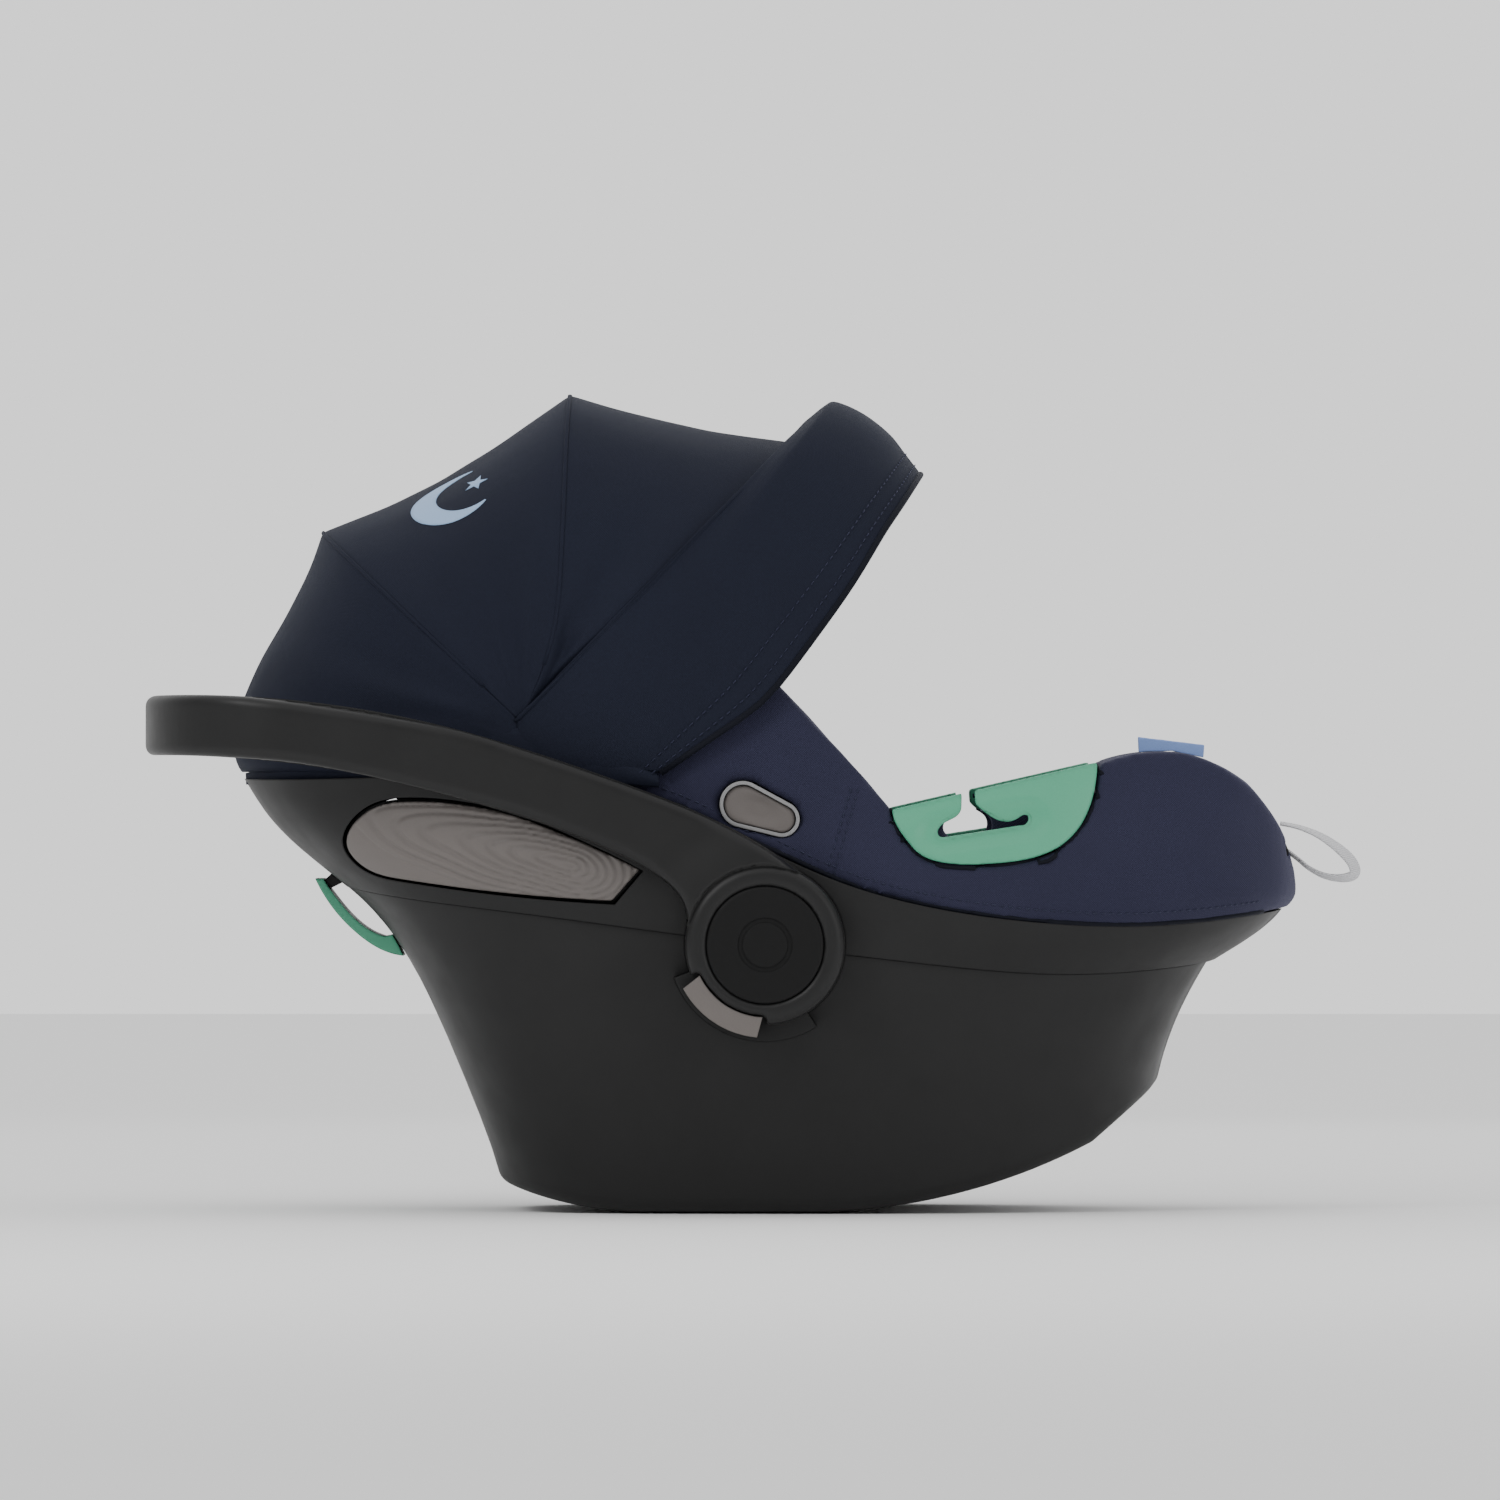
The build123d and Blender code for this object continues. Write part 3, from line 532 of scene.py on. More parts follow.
def fold_weights(obj, a, b, start_angle, end_angle):
    """Bakes obj's transform and works out each point's fan angle about the canopy pivot, then keeps none of it; a,
    b, start_angle and end_angle are not used.
    """
    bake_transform(obj)
    co = coords(obj)
    angle = np.degrees(np.arctan2(co[:, 2] - PIVOT[1], co[:, 0] - PIVOT[0]))
    angle = np.where(angle < -120, angle + 360, angle)
    reach = np.hypot(co[:, 0] - PIVOT[0], co[:, 2] - PIVOT[1])
    bent = np.interp(reach, [3, 28.6, 70.3, 124.4, 183.6, 216.5], [83, 67.4, 70.9, 77.5, 81.1, 82.0])
    angle = np.where(angle < bent, FRONT_A + (angle - FRONT_A) * (MID_A - FRONT_A) / (bent - FRONT_A),
                     MID_A + (angle - bent) * (REAR_A - MID_A) / (REAR_A - bent))


def thicken(obj, thickness):
    solid = obj.modifiers.new("t", "SOLIDIFY")
    solid.thickness, solid.offset = thickness * MM, -1
    apply_modifiers(obj)
    obj.data.shade_smooth()
    return obj


def orient_outward(obj, centre):
    """Turns the faces so that they look away from a centre point."""
    work = bmesh.new()
    work.from_mesh(obj.data)
    middle = Vector(centre) * MM
    score = sum(f.normal.dot(f.calc_center_median() - middle) * f.calc_area() for f in work.faces)
    if score < 0:
        bmesh.ops.reverse_faces(work, faces=work.faces)
    work.to_mesh(obj.data)
    work.free()


def gore_relief(co, seed):
    """Shallow tension folds that fan out from the pivot, with broad softness."""
    dx, dz = co[:, 0] - PIVOT[0], co[:, 2] - PIVOT[1]
    reach = np.hypot(dx, dz)
    angle = np.degrees(np.arctan2(dz, dx))
    fan = np.array([noise.noise(Vector((a / 9.0 + seed, r / 160.0, math.copysign(3, y))))
                    for a, r, y in zip(angle, reach, co[:, 1])])
    side = np.clip(np.abs(co[:, 1]) / CANOPY_W, 0, 1) ** 2
    near = smoothstep(12, 50, reach) * (1 - smoothstep(70, 190, reach))
    return fan * (2.6 * near * side + 0.5) + 0.9 * wrinkle(co, 70, seed) + 0.35 * wrinkle(co, 22, seed + 7)


def pinch(co):
    """The gathered crease where the middle and front seams meet on each side."""
    x0, z0 = -123.0, 352.0
    dx, dz = co[:, 0] - x0, co[:, 2] - z0
    side = np.clip((np.abs(co[:, 1]) - 120) / 40, 0, 1)
    total = np.zeros(len(co))
    for ax, az, length, depth, wide in ((0.05, 1.0, 44, 7.0, 3.6), (0.80, 0.60, 96, 6.5, 4.6),
                                        (-0.62, -0.78, 42, 7.0, 4.4), (0.55, -0.83, 30, 4.0, 4.0)):
        norm = math.hypot(ax, az)
        ax, az = ax / norm, az / norm
        s = dx * ax + dz * az
        d = dx * az - dz * ax
        total -= depth * np.exp(-(d / wide) ** 2) * smoothstep(-4, 6, s) * (1 - smoothstep(length * 0.4, length, s))
    return total * side


CANOPY_CENTRE = (-120, 0, 360)


def make_gore(name, first, last, steps, bulge, lean, seed, bodies, angles, node):
    """A fabric panel between two arches, wrinkled and thickened, with its transform baked; the bodies and angles it
    is given are not used.
    """
    rows = between(first, last, steps, bulge, lean)
    obj = grid_mesh(name, rows, "canopy_fabric")
    orient_outward(obj, CANOPY_CENTRE)
    co = coords(obj)
    edge = np.repeat(np.sin(np.pi * np.linspace(0, 1, steps + 1)) ** 0.5, len(first))
    displace(obj, gore_relief(co, seed) * edge + pinch(co))
    thicken(obj, 1.5)
    obj.modifiers.new("d", "SUBSURF").levels = 1
    apply_modifiers(obj)
    fold_weights(obj, *bodies, *angles)
    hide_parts(node)
    return obj


gores = {}
gores["rear"] = make_gore("canopy_rear_gore", HEM, REAR_ARCH, 20, 13.0, 0.8, 1.0, ("carrier", "canopy_rear"),
                          (186, REAR_A), "canopy_rear_panel")
gores["mid"] = make_gore("canopy_mid_gore", REAR_ARCH, MID_ARCH, 24, -8.0, 1.0, 5.0, ("canopy_rear", "canopy_mid"),
                         (REAR_A, MID_A), "canopy_mid_panel")
gores["front"] = make_gore("canopy_front_gore", MID_ARCH, FRONT_ARCH, 20, -4.5, 1.0, 9.0,
                           ("canopy_mid", "canopy_front"), (MID_A, FRONT_A), "canopy_front_panel")


def make_visor():
    """The stiff peak: it laps over the front bow and runs down each side to the hem."""
    # foot and apex in side view, half width; the first ones tuck under
    stations = [
        ((-156, 318), (34.0, 506.5), CANOPY_W - 2.6),
        ((-156, 318), (32.9, 511.0), CANOPY_W - 0.8),
        ((-156, 318), (32.5, 514.5), CANOPY_W + 0.2),
        ((-152.5, 300), (38.0, 519.5), CANOPY_W + 1.3),
        ((-142, 288.5), (46.4, 526.3), CANOPY_W + 1.7),
        ((-130, 286.4), (53.4, 528.6), CANOPY_W + 1.5),
        ((-113, 285.8), (71.5, 520.4), CANOPY_W + 1.1),
        ((-90, 285.5), (88.2, 507.2), CANOPY_W + 0.8),
    ]
    rows = [arch(foot, apex, width) for foot, apex, width in stations]
    rows.append(arch(None, None, CANOPY_W, path=lambda s: tuple(
        0.5 * (a + b) for a, b in zip(LIP_LINE(s), (-90 + 178.2 * s, 285.5 + 221.7 * s)))))
    rows.append(arch(None, None, CANOPY_W, path=LIP_LINE))
    fine = []
    for j in range(len(rows[0])):
        fine.append(curve_points([row[j] for row in rows], 4))
    rows = [[column[i] for column in fine] for i in range(len(fine[0]))]
    obj = grid_mesh("canopy_visor_cloth", rows, "canopy_fabric")
    orient_outward(obj, CANOPY_CENTRE)
    co = coords(obj)
    displace(obj, 0.7 * wrinkle(co, 60, 3) + 0.3 * wrinkle(co, 20, 8))
    thicken(obj, 2.2)
    obj.modifiers.new("d", "SUBSURF").levels = 1
    apply_modifiers(obj)
    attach(obj, "canopy_front")
    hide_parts("canopy_visor")
    return obj, rows


visor, VISOR_ROWS = make_visor()


def scaled_arch(line, out):
    """An arch moved outward from the canopy's centre by a distance."""
    moved = []
    for p in line:
        away = Vector((p.x - PIVOT[0], p.y, p.z - PIVOT[1]))
        moved.append(p + away.normalized() * out)
    return moved


def outward_of(line):
    return [Vector((p.x - CANOPY_CENTRE[0], p.y, p.z - CANOPY_CENTRE[2])).normalized() for p in line]


for label, line, body in (("rear", REAR_ARCH, "canopy_rear"), ("mid", MID_ARCH, "canopy_mid")):
    seam = scaled_arch(line[2:-2], -0.1)
    piping = tube(f"canopy_{label}_seam_binding", seam, 1.3, "canopy_fabric", 8, flat=0.5, outward=outward_of(seam))
    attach(piping, body)
lip = VISOR_ROWS[-1]
binding = tube("visor_edge_binding", scaled_arch(lip, -0.6), 2.1, "binding", 10, outward=outward_of(lip))
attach(binding, "canopy_front")
for offset, label in ((2, "outer"), (4, "inner")):
    row = VISOR_ROWS[-1 - offset]
    line = scaled_arch(row, 0.4)
    seam = stitches(f"visor_{label}_stitches", line, outward_of(row))
    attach(seam, "canopy_front")


def make_skirt():
    """Fabric below the pivot, fixed to the rim on each side and following the rear hem."""
    rim = [(HEM[i].x, -HEM[i].y) for i in (24, 21, 18, 15, 12, 9, 6, 3, 0)]
    rim += [(x, 182.0) for x in (-130, -110, -90, -75, -62)]
    for side, sign in SIDES:
        rows = []
        for u in range(9):
            t = u / 8
            row = []
            for x, y in rim:
                height = 30.0 * (1 - min(1.0, abs(x + 151) / (184 if x < -151 else 92)) ** 1.2)
                y = max(0.0, y - 2.0 + 1.8 * math.sin(math.pi * t))
                row.append((x, sign * y, 285.0 - 1.8 * max(0.0, (x + 90) / 28) - 7 + (height + 7) * t))
            rows.append(row)
        dense = [curve_points([Vector(p) for p in row], 5) for row in rows]
        obj = grid_mesh(f"canopy_skirt_{side}", dense, "canopy_fabric")
        orient_outward(obj, (-150, 0, 300))
        displace(obj, 0.8 * wrinkle(coords(obj), 24, 4))
        thicken(obj, 1.4)
        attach(obj, "carrier")


make_skirt()


def make_emblem():
    """A crescent moon and a small star, printed on the middle gore's near side."""
    tree = tree_of(gores["mid"])
    centre = Vector((-203, -120, 481))
    ray = Vector((0.22, 0.84, -0.50)).normalized()
    across = Vector((1, 0, 0.47)).normalized()
    along = ray.cross(across).normalized()
    across = along.cross(ray).normalized()

    def place(u, v, lift=0.35):
        hit = tree.ray_cast(centre + across * u + along * v - ray * 150, ray)[0]
        return hit - ray * lift if hit else None

    pieces = []
    rows = []
    steps = 40
    for i in range(steps + 1):
        a = math.radians(52 + 256 * i / steps)
        outer = Vector((30 * math.cos(a), 30 * math.sin(a)))
        inner_centre, inner_radius = Vector((11.5, 0)), 23.5
        inward = -outer.normalized()
        b = 2 * (outer - inner_centre).dot(inward)
        c = (outer - inner_centre).length_squared - inner_radius ** 2
        root = b * b - 4 * c
        reach = max(0.2, (-b - math.sqrt(root)) / 2) if root > 0 and -b > 0 else 0.2
        rows.append([outer + inward * (reach * k / 6) for k in range(7)])
    placed = [[place(p.x, p.y) for p in row] for row in rows]
    pieces.append(grid_mesh("canopy_moon_print", placed, "emblem_print"))
    star, faces = [place(17.0, -1.0)], []
    for i in range(10):
        r = 8.5 if i % 2 == 0 else 3.6
        a = math.radians(36 * i + 18)
        star.append(place(17.0 + r * math.cos(a), -1.0 + r * math.sin(a)))
    for i in range(10):
        faces.append((0, 1 + i, 1 + (i + 1) % 10))
    pieces.append(new_mesh("canopy_star_print", star, faces, "emblem_print"))
    for obj in pieces:
        orient_outward(obj, CANOPY_CENTRE)
        thicken(obj, 0.3)
        fold_weights(obj, "canopy_rear", "canopy_mid", REAR_A, MID_A)


make_emblem()


# ------------------------------------------------------------------ cover
def make_cover():
    """The cover: puffed where it is free, held down at the rim and round each fitting."""
    cover = remesh_copy("seat_cover_cloth", "seat_cover", 3.2, "cover_fabric", 6)
    co = coords(cover)
    no = normals(cover)
    rim = np.interp(co[:, 0], [-360, -130, -61, 0, 61, 106, 152, 197, 242, 287, 345],
                    [283, 281, 268, 240, 213, 200.5, 192.5, 188, 186.5, 189, 196.5])
    free = smoothstep(0, 26, co[:, 2] - rim)
    for cx, cz, a, b in ((1.5, 262, 26, 52), (155, 262, 66, 92), (-151, 318, 28, 60), (345, 240, 16, 60),
                         (269, 300, 20, 70)):
        away = np.hypot(co[:, 0] - cx, co[:, 2] - cz)
        free = np.minimum(free, smoothstep(a, b, away))
    hump = smoothstep(200, 270, co[:, 0]) * 0.9
    amount = free * (1.5 + hump) + 0.9 * wrinkle(co, 60, 2) + 0.45 * wrinkle(co, 21, 5) * (0.3 + free)
    crease = np.exp(-((co[:, 0] - np.interp(co[:, 2], [216, 242, 279], [48.4, 54.8, 64.5])) / 2.6) ** 2)
    outer = smoothstep(0.3, 0.7, np.abs(no[:, 1]) * np.sign(no[:, 1] * co[:, 1]))
    amount -= 1.5 * crease * outer
    ripple = np.sin((co[:, 0] - 300) / 9.0 + co[:, 2] / 15.0) * smoothstep(300, 330, co[:, 0])
    amount += 0.4 * ripple * (1 - smoothstep(190, 235, co[:, 2]))
    displace(cover, amount)
    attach(cover, "carrier")
    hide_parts("seat_cover")
    return cover


cover = make_cover()
COVER_TREE = tree_of(cover)
for side, sign in SIDES:
    seam = [(64.5, 276), (60, 260), (54.8, 242.5), (51, 229), (48.4, 218)]
    seam = [(p.x, p.z) for p in curve_points([(x, 0, z) for x, z in seam], 8)]
    for shift, label in ((2.6, "front"), (-2.6, "rear")):
        path, out = onto(COVER_TREE, [(x + shift, z) for x, z in seam], sign, 0.1)
        row = stitches(f"cover_{label}_stitches_{side}", path, out)
        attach(row, "carrier")
    edge = [(-240, 284.4), (-130, 282.2), (-61, 269.2), (0, 241.5), (61, 214.4), (106, 201.9), (152, 193.9),
            (197, 189.4), (242, 187.9), (287, 190.4), (330, 195.6)]
    edge = [(p.x, p.z) for p in curve_points([(x, 0, z) for x, z in edge], 8)]
    path, out = onto(COVER_TREE, edge, sign, 0.0)
    piping = tube(f"cover_hem_piping_{side}", path, 1.7, "binding", 8, outward=out)
    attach(piping, "carrier")
    path, out = onto(COVER_TREE, [(x, z + 7) for x, z in edge], sign, 0.1)
    row = stitches(f"cover_hem_stitches_{side}", path, out)
    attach(row, "carrier")


# ------------------------------------------------------------------ seat padding
def back_frame(co):
    """Coordinates in the backrest's frame: up the back and out of it."""
    dx, dz = co[:, 0] - BACK_FOOT[0], co[:, 2] - BACK_FOOT[1]
    c, s = math.cos(BACK_ANGLE), math.sin(BACK_ANGLE)
    return -dx * c + dz * s, dx * s + dz * c


def channels(obj, lines, width=4.0, depth=2.6):
    """Sewn channels: the surface sinks near each line."""
    amount = np.zeros(len(obj.data.vertices))
    for distance in lines:
        amount = np.minimum(amount, -depth * np.exp(-(distance / width) ** 2))
    displace(obj, amount)


def finish_pad(obj, node, body="carrier"):
    """Attaches a pad to its body and hides the CAD node it stands for."""
    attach(obj, body)
    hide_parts(node)
    return obj


seat_pad = remesh_copy("seat_pad_cloth", "seat_pad", 5.5, "pad_fabric", 4)
inflate(seat_pad, 4.0)
co = coords(seat_pad)
s, n = back_frame(co)
channels(seat_pad, [np.where(co[:, 0] < 20, np.abs(s - 60 - 62 * k), 99) for k in range(6)]
         + [np.where(co[:, 0] < 20, np.abs(np.abs(co[:, 1]) - 62), 99)]
         + [np.where(co[:, 0] >= 20, np.abs(co[:, 0] - 150), 99)])
finish_pad(seat_pad, "seat_pad")

inlay = remesh_copy("newborn_inlay_cloth", "newborn_inlay", 4.0, "inlay_fabric", 4)
inflate(inlay, 5.0)
co = coords(inlay)
channels(inlay, [np.abs((co[:, 0] + co[:, 1] - 25) % 50 - 25), np.abs((co[:, 0] - co[:, 1] - 25) % 50 - 25)],
         3.0, 1.6)
finish_pad(inlay, "newborn_inlay")

headrest = remesh_copy("headrest_pad_cloth", "headrest_pad", 4.0, "pad_fabric", 4)
inflate(headrest, 5.0)
co = coords(headrest)
s, n = back_frame(co)
channels(headrest, [np.where(np.abs(co[:, 1]) < 66, np.abs(s - 232), 99),
                    np.where(np.abs(co[:, 1]) < 66, np.abs(s - 272), 99),
                    np.abs(np.abs(co[:, 1]) - 83)], 3.5, 2.0)
finish_pad(headrest, "headrest_pad", "headrest")

shoulder = remesh_copy("shoulder_pads_cloth", "shoulder_pads", 2.2, "pad_fabric", 4)
inflate(shoulder, 2.5)
finish_pad(shoulder, "shoulder_pads")


# ------------------------------------------------------------------ harness
def back_point(s, y, n):
    """A point from its place up the backrest, across it and out of it."""
    c, q = math.cos(BACK_ANGLE), math.sin(BACK_ANGLE)
    return Vector((BACK_FOOT[0] - s * c + n * q, y, BACK_FOOT[1] + s * q + n * c))


def ribbon(name, path, width, thickness, material, twist=None):
    """Woven webbing along a path, with slightly thicker selvedges; twist turns it about its run."""
    rows = []
    n = len(path)
    for i, p in enumerate(path):
        along = (path[min(i + 1, n - 1)] - path[max(i - 1, 0)]).normalized()
        across = Vector((0, 1, 0))
        if twist is not None:
            across = Matrix.Rotation(twist(i / (n - 1)), 3, along) @ across
        up = along.cross(across).normalized()
        section = []
        for k in range(9):
            v = -1 + 2 * k / 8
            edge = 1.25 if 0.6 < abs(v) < 0.95 else (0.55 if abs(v) > 0.95 else 1.0)
            section.append((v, edge))
        ring = [p + across * (v * width / 2) + up * (thickness / 2 * e) for v, e in section]
        ring += [p + across * (v * width / 2) - up * (thickness / 2 * e) for v, e in reversed(section)]
        rows.append(ring)
    obj = grid_mesh(name, rows, material, closed=True)
    close_ends(obj, 20)
    return obj


for side, sign in SIDES:
    path = curve_points([back_point(s, sign * 34, n) for s, n in (
        (31, 53.6), (38, 47.5), (48, 37.0), (66, 25.6), (88, 14.8), (118, 11.0), (160, 9.6), (203, 8.8))], 8)
    strap = ribbon(f"shoulder_webbing_{side}", path, 24.5, 1.5, "webbing")
    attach(strap, "carrier")
    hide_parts(f"shoulder_strap_{side}")
crotch = ribbon("crotch_webbing", curve_points([Vector((x, 0, z)) for x, z in (
    (95, 169.4), (103, 163), (108, 154), (110, 143), (111, 130))], 8), 24.5, 1.6, "webbing")
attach(crotch, "carrier")
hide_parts("crotch_strap")
pull_path = curve_points([Vector((x, 0, z)) for x, z in (
    (344.3, 252.5), (357, 249.8), (370, 244.5), (382, 236.5), (391.0, 227.5), (393.0, 219.8), (386, 216.8),
    (374, 218), (363.5, 223), (356, 229), (345, 237.5))], 8)
pull = ribbon("pull_webbing_loop", pull_path, 11.0, 1.4, "pull_webbing",
              twist=lambda t: math.radians(8 + 30 * math.sin(math.pi * min(1, t * 1.15)) ** 2))
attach(pull, "carrier")
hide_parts("pull_strap")


# ------------------------------------------------------------------ plastic details
def make_guard(side, sign):
    """The side guard's leaf with nested contour ridges."""
    guard = remesh_copy(f"side_guard_leaf_{side}", f"side_guard_{side}", 1.3, "taupe_plastic", 3)
    co, no = coords(guard), normals(guard)
    x, z = co[:, 0], co[:, 2]
    along, across = (x + 118) * 0.97 - (z - 226) * 0.24, (x + 118) * 0.24 + (z - 226) * 0.97
    along = np.where(along > 0, along / 44.0, along / 146.0)
    field = np.hypot(along + 0.05 * np.sin(across / 9.0), (across - 4 * along) / 27.0)
    field += 0.035 * np.sin(x / 13.0) * np.cos(z / 11.0)
    phase = (field * 7.5) % 1.0
    ridge = smoothstep(0.0, 0.3, phase) * (1 - smoothstep(0.72, 1.0, phase))
    outer = smoothstep(0.5, 0.9, no[:, 1] * sign)
    displace(guard, (1.4 * ridge - 0.9) * outer * (1 - smoothstep(1.02, 1.1, field)))
    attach(guard, f"guard_{side}")
    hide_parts(f"side_guard_{side}")


ARM_UPPER = [(-400, 335.5), (-328.7, 335.2), (-200.3, 316), (-148, 301), (-76.9, 276.5), (-30, 257.5), (10, 236),
             (46, 207)]
ARM_LOWER = [(-44, 186), (-50, 207), (-76.8, 227.5), (-131, 251), (-175.6, 265), (-274.4, 288.5), (-335, 295.5),
             (-400, 297)]


def line_depth(x, z, line):
    """How far each side-view point is inside a line (inside is to its right), and the inward direction."""
    line = [(p.x, p.z) for p in curve_points([(a, 0, b) for a, b in line], 6)]
    best = np.full(len(x), 1e9)
    depth, inx, inz = np.zeros(len(x)), np.zeros(len(x)), np.zeros(len(x))
    for (ax, az), (bx, bz) in zip(line, line[1:]):
        length = math.hypot(bx - ax, bz - az)
        ux, uz = (bx - ax) / length, (bz - az) / length
        s = np.clip((x - ax) * ux + (z - az) * uz, 0, length)
        dx, dz = x - ax - s * ux, z - az - s * uz
        far = dx * dx + dz * dz
        near = far < best
        best = np.where(near, far, best)
        depth = np.where(near, dx * uz - dz * ux, depth)
        inx, inz = np.where(near, uz, inx), np.where(near, -ux, inz)
    return depth, inx, inz


def rounded_corner(p, d, radius):
    """Moves (p, d), two depths from the faces of an edge, onto a round of that radius."""
    a, b = np.clip(radius - p, 0, None), np.clip(radius - d, 0, None)
    length = np.hypot(a, b)
    scale = np.where((a > 0) & (b > 0) & (length > radius), radius / np.maximum(length, 1e-6), 1.0)
    return a * (1 - scale), b * (1 - scale)


def make_handle():
    """The outer handle shell with its edges rounded and a collar that swells round each hub."""
    handle = remesh_copy("handle_outer_skin", "handle_outer_shell", 1.7, "handle_plastic", 2)
    co = coords(handle)
    x, y, z = co[:, 0].copy(), co[:, 1].copy(), co[:, 2].copy()
    side, wide = np.sign(y), np.abs(y)
    corner = (x < -303.4) & (wide > 119)
    bar = (x < -303.4) & ~corner
    cx, cy = x + 303.4, wide - 119
    reach = np.maximum(np.hypot(cx, cy), 1e-6)
    plan = np.where(corner, 92 - reach, np.where(bar, x + 395.4, 211 - wide))
    inward_x = np.where(corner, -cx / reach, np.where(bar, 1.0, 0.0))
    inward_y = np.where(corner, -cy / reach, np.where(bar, 0.0, -1.0)) * side
    around = np.hypot(x - HUB[0], z - HUB[1])
    arm = around > 52.5
    for line in (ARM_UPPER, ARM_LOWER):
        depth, inx, inz = line_depth(x, z, line)
        dp, dd = rounded_corner(plan, depth, 6.5)
        near = arm & (depth < 12) & (plan < 12)
        dp, dd = np.where(near, dp, 0), np.where(near, dd, 0)
        co[:, 0] += dp * inward_x + dd * inx
        co[:, 1] += dp * inward_y
        co[:, 2] += dd * inz
    dp, dd = rounded_corner(217.5 - wide, 51.5 - around, 6.3)
    disc = ~arm & (wide > 211)
    shrink = 1 - np.where(disc, dd, 0) / np.maximum(around, 1e-6)
    co[:, 0] = np.where(disc, HUB[0] + (x - HUB[0]) * shrink, co[:, 0])
    co[:, 2] = np.where(disc, HUB[1] + (z - HUB[1]) * shrink, co[:, 2])
    co[:, 1] -= np.where(disc, dp, 0) * side
    collar = 5.2 * (1 - smoothstep(50, 92, around)) * smoothstep(207, 210.5, wide) * (around > 51.8)
    co[:, 1] += collar * side
    set_coords(handle, co)
    relax = handle.modifiers.new("s", "SMOOTH")
    relax.iterations, relax.factor = 4, 0.5
    apply_modifiers(handle)
    handle.data.shade_smooth()
    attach(handle, "handle")
    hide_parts("handle_outer_shell")


make_handle()


def make_guide(side, sign):
    """The belt guide, dished round its slot, with a cord of binding in the cover's edge."""
    guide = remesh_copy(f"lap_guide_{side}", f"lap_belt_guide_{side}", 1.2, "green_plastic", 5)
    co, no = coords(guide), normals(guide)
    outer = smoothstep(0.5, 0.9, no[:, 1] * sign)
    slot_line = [(120, 247), (134, 250), (150, 252.5), (174, 255.5)]
    away = np.min([np.hypot(co[:, 0] - p.x, (co[:, 2] - p.z) * 1.2)
                   for p in curve_points([(x, 0, z) for x, z in slot_line], 6)], axis=0)
    dish = 1 - smoothstep(8, 19, away)
    top = smoothstep(0, 16, co[:, 2] - (262.2 + (co[:, 0] - 88.5) * 0.23) + 16)
    displace(guide, -(2.4 * dish + 1.6 * top * (1 - dish)) * outer)
    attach(guide, "carrier")
    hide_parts(f"lap_belt_guide_{side}")
    outline = [(88.5, 262.2), (92.5, 250), (97, 243.5), (107, 233), (122, 227.8), (154, 227.3), (179, 230.8),
               (198, 239), (210, 251), (217, 265), (221.2, 291.5)]
    outline = [(p.x, p.z) for p in curve_points([(x, 0, z) for x, z in outline], 8)]
    middle = (155, 262)
    grown = []
    for x, z in outline:
        away = Vector((x - middle[0], z - middle[1])).normalized()
        grown.append((x + away.x * 1.6, z + away.y * 1.6))
    path, out = onto(COVER_TREE, grown, sign, 0.4)
    piping = tube(f"guide_piping_{side}", path, 1.5, "binding", 8, outward=out)
    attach(piping, "carrier")


def make_release(side, sign):
    """The release button's face: a shallow dish with a moulded grip ridge."""
    button = remesh_copy(f"release_face_{side}", f"release_button_{side}", 0.9, "taupe_plastic", 4)
    co, no = coords(button), normals(button)
    a = math.radians(-21)
    u = (co[:, 0] - 1.5) * math.cos(a) + (co[:, 2] - 262) * math.sin(a)
    v = -(co[:, 0] - 1.5) * math.sin(a) + (co[:, 2] - 262) * math.cos(a)
    dish = 1 - smoothstep(0.2, 1.0, np.hypot(u / 22, v / 12))
    outer = smoothstep(0.6, 0.95, no[:, 1] * sign)
    displace(button, -2.2 * dish * outer)
    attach(button, f"release_{side}")
    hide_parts(f"release_button_{side}")


for side, sign in SIDES:
    make_guard(side, sign)
    make_guide(side, sign)
    make_release(side, sign)

label = remesh_copy("sewn_label", "label_tag", 0.6, "label_fabric", 1)
displace(label, 0.15 * wrinkle(coords(label), 9, 2))
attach(label, "carrier")
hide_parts("label_tag")


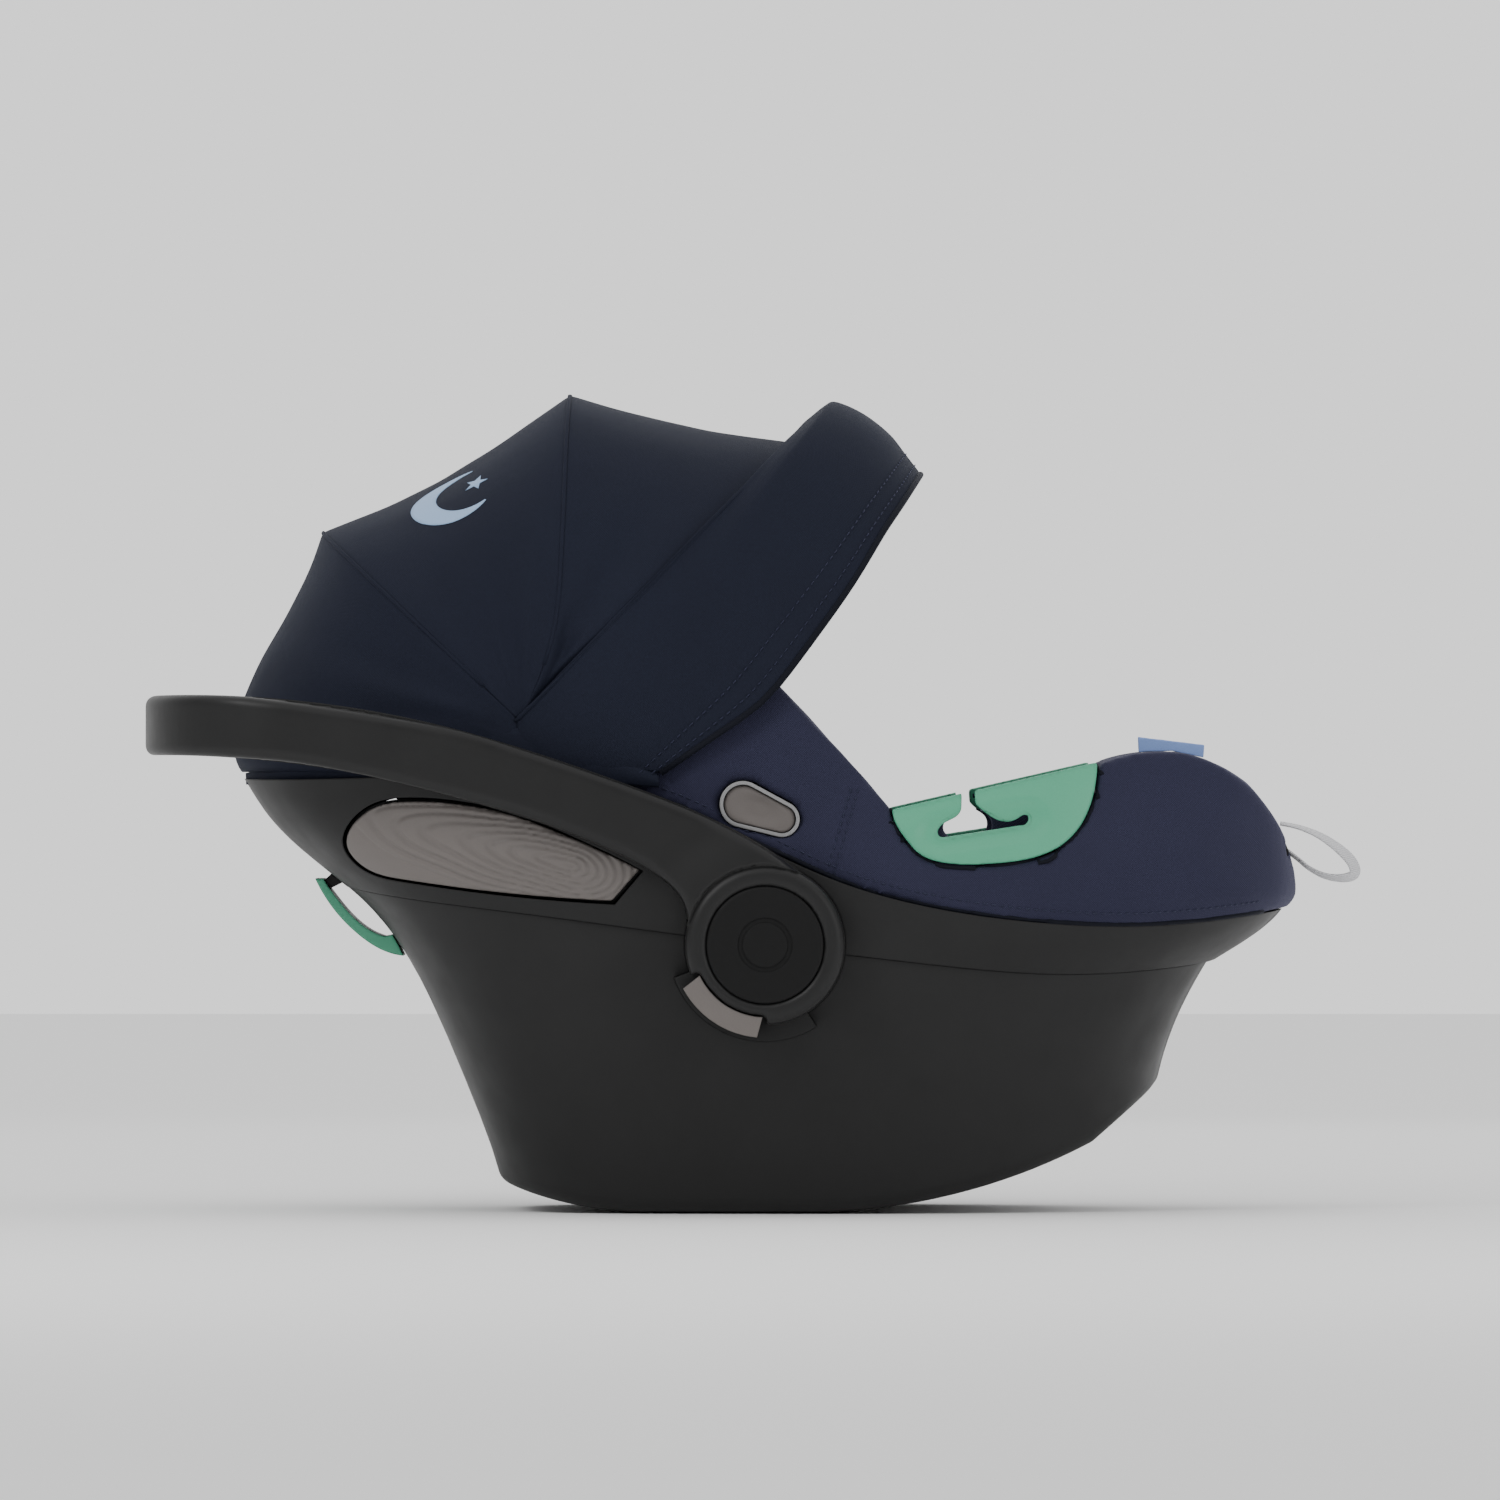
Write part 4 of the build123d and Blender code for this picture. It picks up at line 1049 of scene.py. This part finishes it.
# ------------------------------------------------------------------ stage, light and camera
floor = bpy.data.objects.new("floor", bpy.data.meshes.new("floor"))
bpy.context.scene.collection.objects.link(floor)
floor.data.from_pydata([(-9, -9, 0), (9, -9, 0), (9, 9, 0), (-9, 9, 0)], [], [(0, 1, 2, 3)])
ground = bpy.data.materials.new("ground")
ground.use_nodes = True
ground.node_tree.nodes["Principled BSDF"].inputs["Base Color"].default_value = (0.97, 0.97, 0.97, 1)
ground.node_tree.nodes["Principled BSDF"].inputs["Roughness"].default_value = 0.9
floor.data.materials.append(ground)


def area_light(name, place, target, size, power):
    data = bpy.data.lights.new(name, "AREA")
    data.shape, data.size, data.energy = "DISK", size, power
    obj = bpy.data.objects.new(name, data)
    bpy.context.scene.collection.objects.link(obj)
    obj.location = place
    obj.rotation_euler = (Vector(target) - Vector(place)).to_track_quat("-Z", "Y").to_euler()


area_light("key", (-1.5, -2.0, 1.8), (-0.1, 0, 0.3), 1.0, 20)
area_light("fill", (1.8, -1.8, 0.9), (0.1, 0, 0.2), 1.4, 9)
area_light("back", (0.3, 2.6, 1.4), (0, 0, 0.3), 1.6, 4)
overhead = bpy.data.objects.new("overhead", bpy.data.lights.new("overhead", "SUN"))
overhead.data.energy, overhead.data.angle = 1.1, 1.6
overhead.rotation_euler = (math.radians(12), 0, 0)
bpy.context.scene.collection.objects.link(overhead)

world = bpy.data.worlds.new("studio")
bpy.context.scene.world = world
world.use_nodes = True
# brighter behind the object than behind the camera
sky = world.node_tree
toward = sky.nodes.new("ShaderNodeTexCoord")
split = sky.nodes.new("ShaderNodeSeparateXYZ")
spread = sky.nodes.new("ShaderNodeMapRange")
spread.interpolation_type = "SMOOTHSTEP"
sky.links.new(toward.outputs["Generated"], split.inputs[0])
sky.links.new(split.outputs[1], spread.inputs[0])
for socket, value in zip(list(spread.inputs)[1:5], (-0.2, 0.9, 0.46, 1.26)):
    socket.default_value = value
sky.links.new(spread.outputs[0], sky.nodes["Background"].inputs["Strength"])
sky.nodes["Background"].inputs["Color"].default_value = (1, 1, 1, 1)

VIEW_WIDTH, DISTANCE = 0.9675, 12.0
camera = bpy.data.objects.new("camera", bpy.data.cameras.new("camera"))
bpy.context.scene.collection.objects.link(camera)
camera.data.sensor_width = 36.0
camera.data.lens = 36.0 * DISTANCE / VIEW_WIDTH
camera.data.clip_end = 100.0
camera.location = (-0.0032, -0.19 - DISTANCE, 0.3006)
camera.rotation_euler = (math.pi / 2, 0, 0)
bpy.context.scene.camera = camera
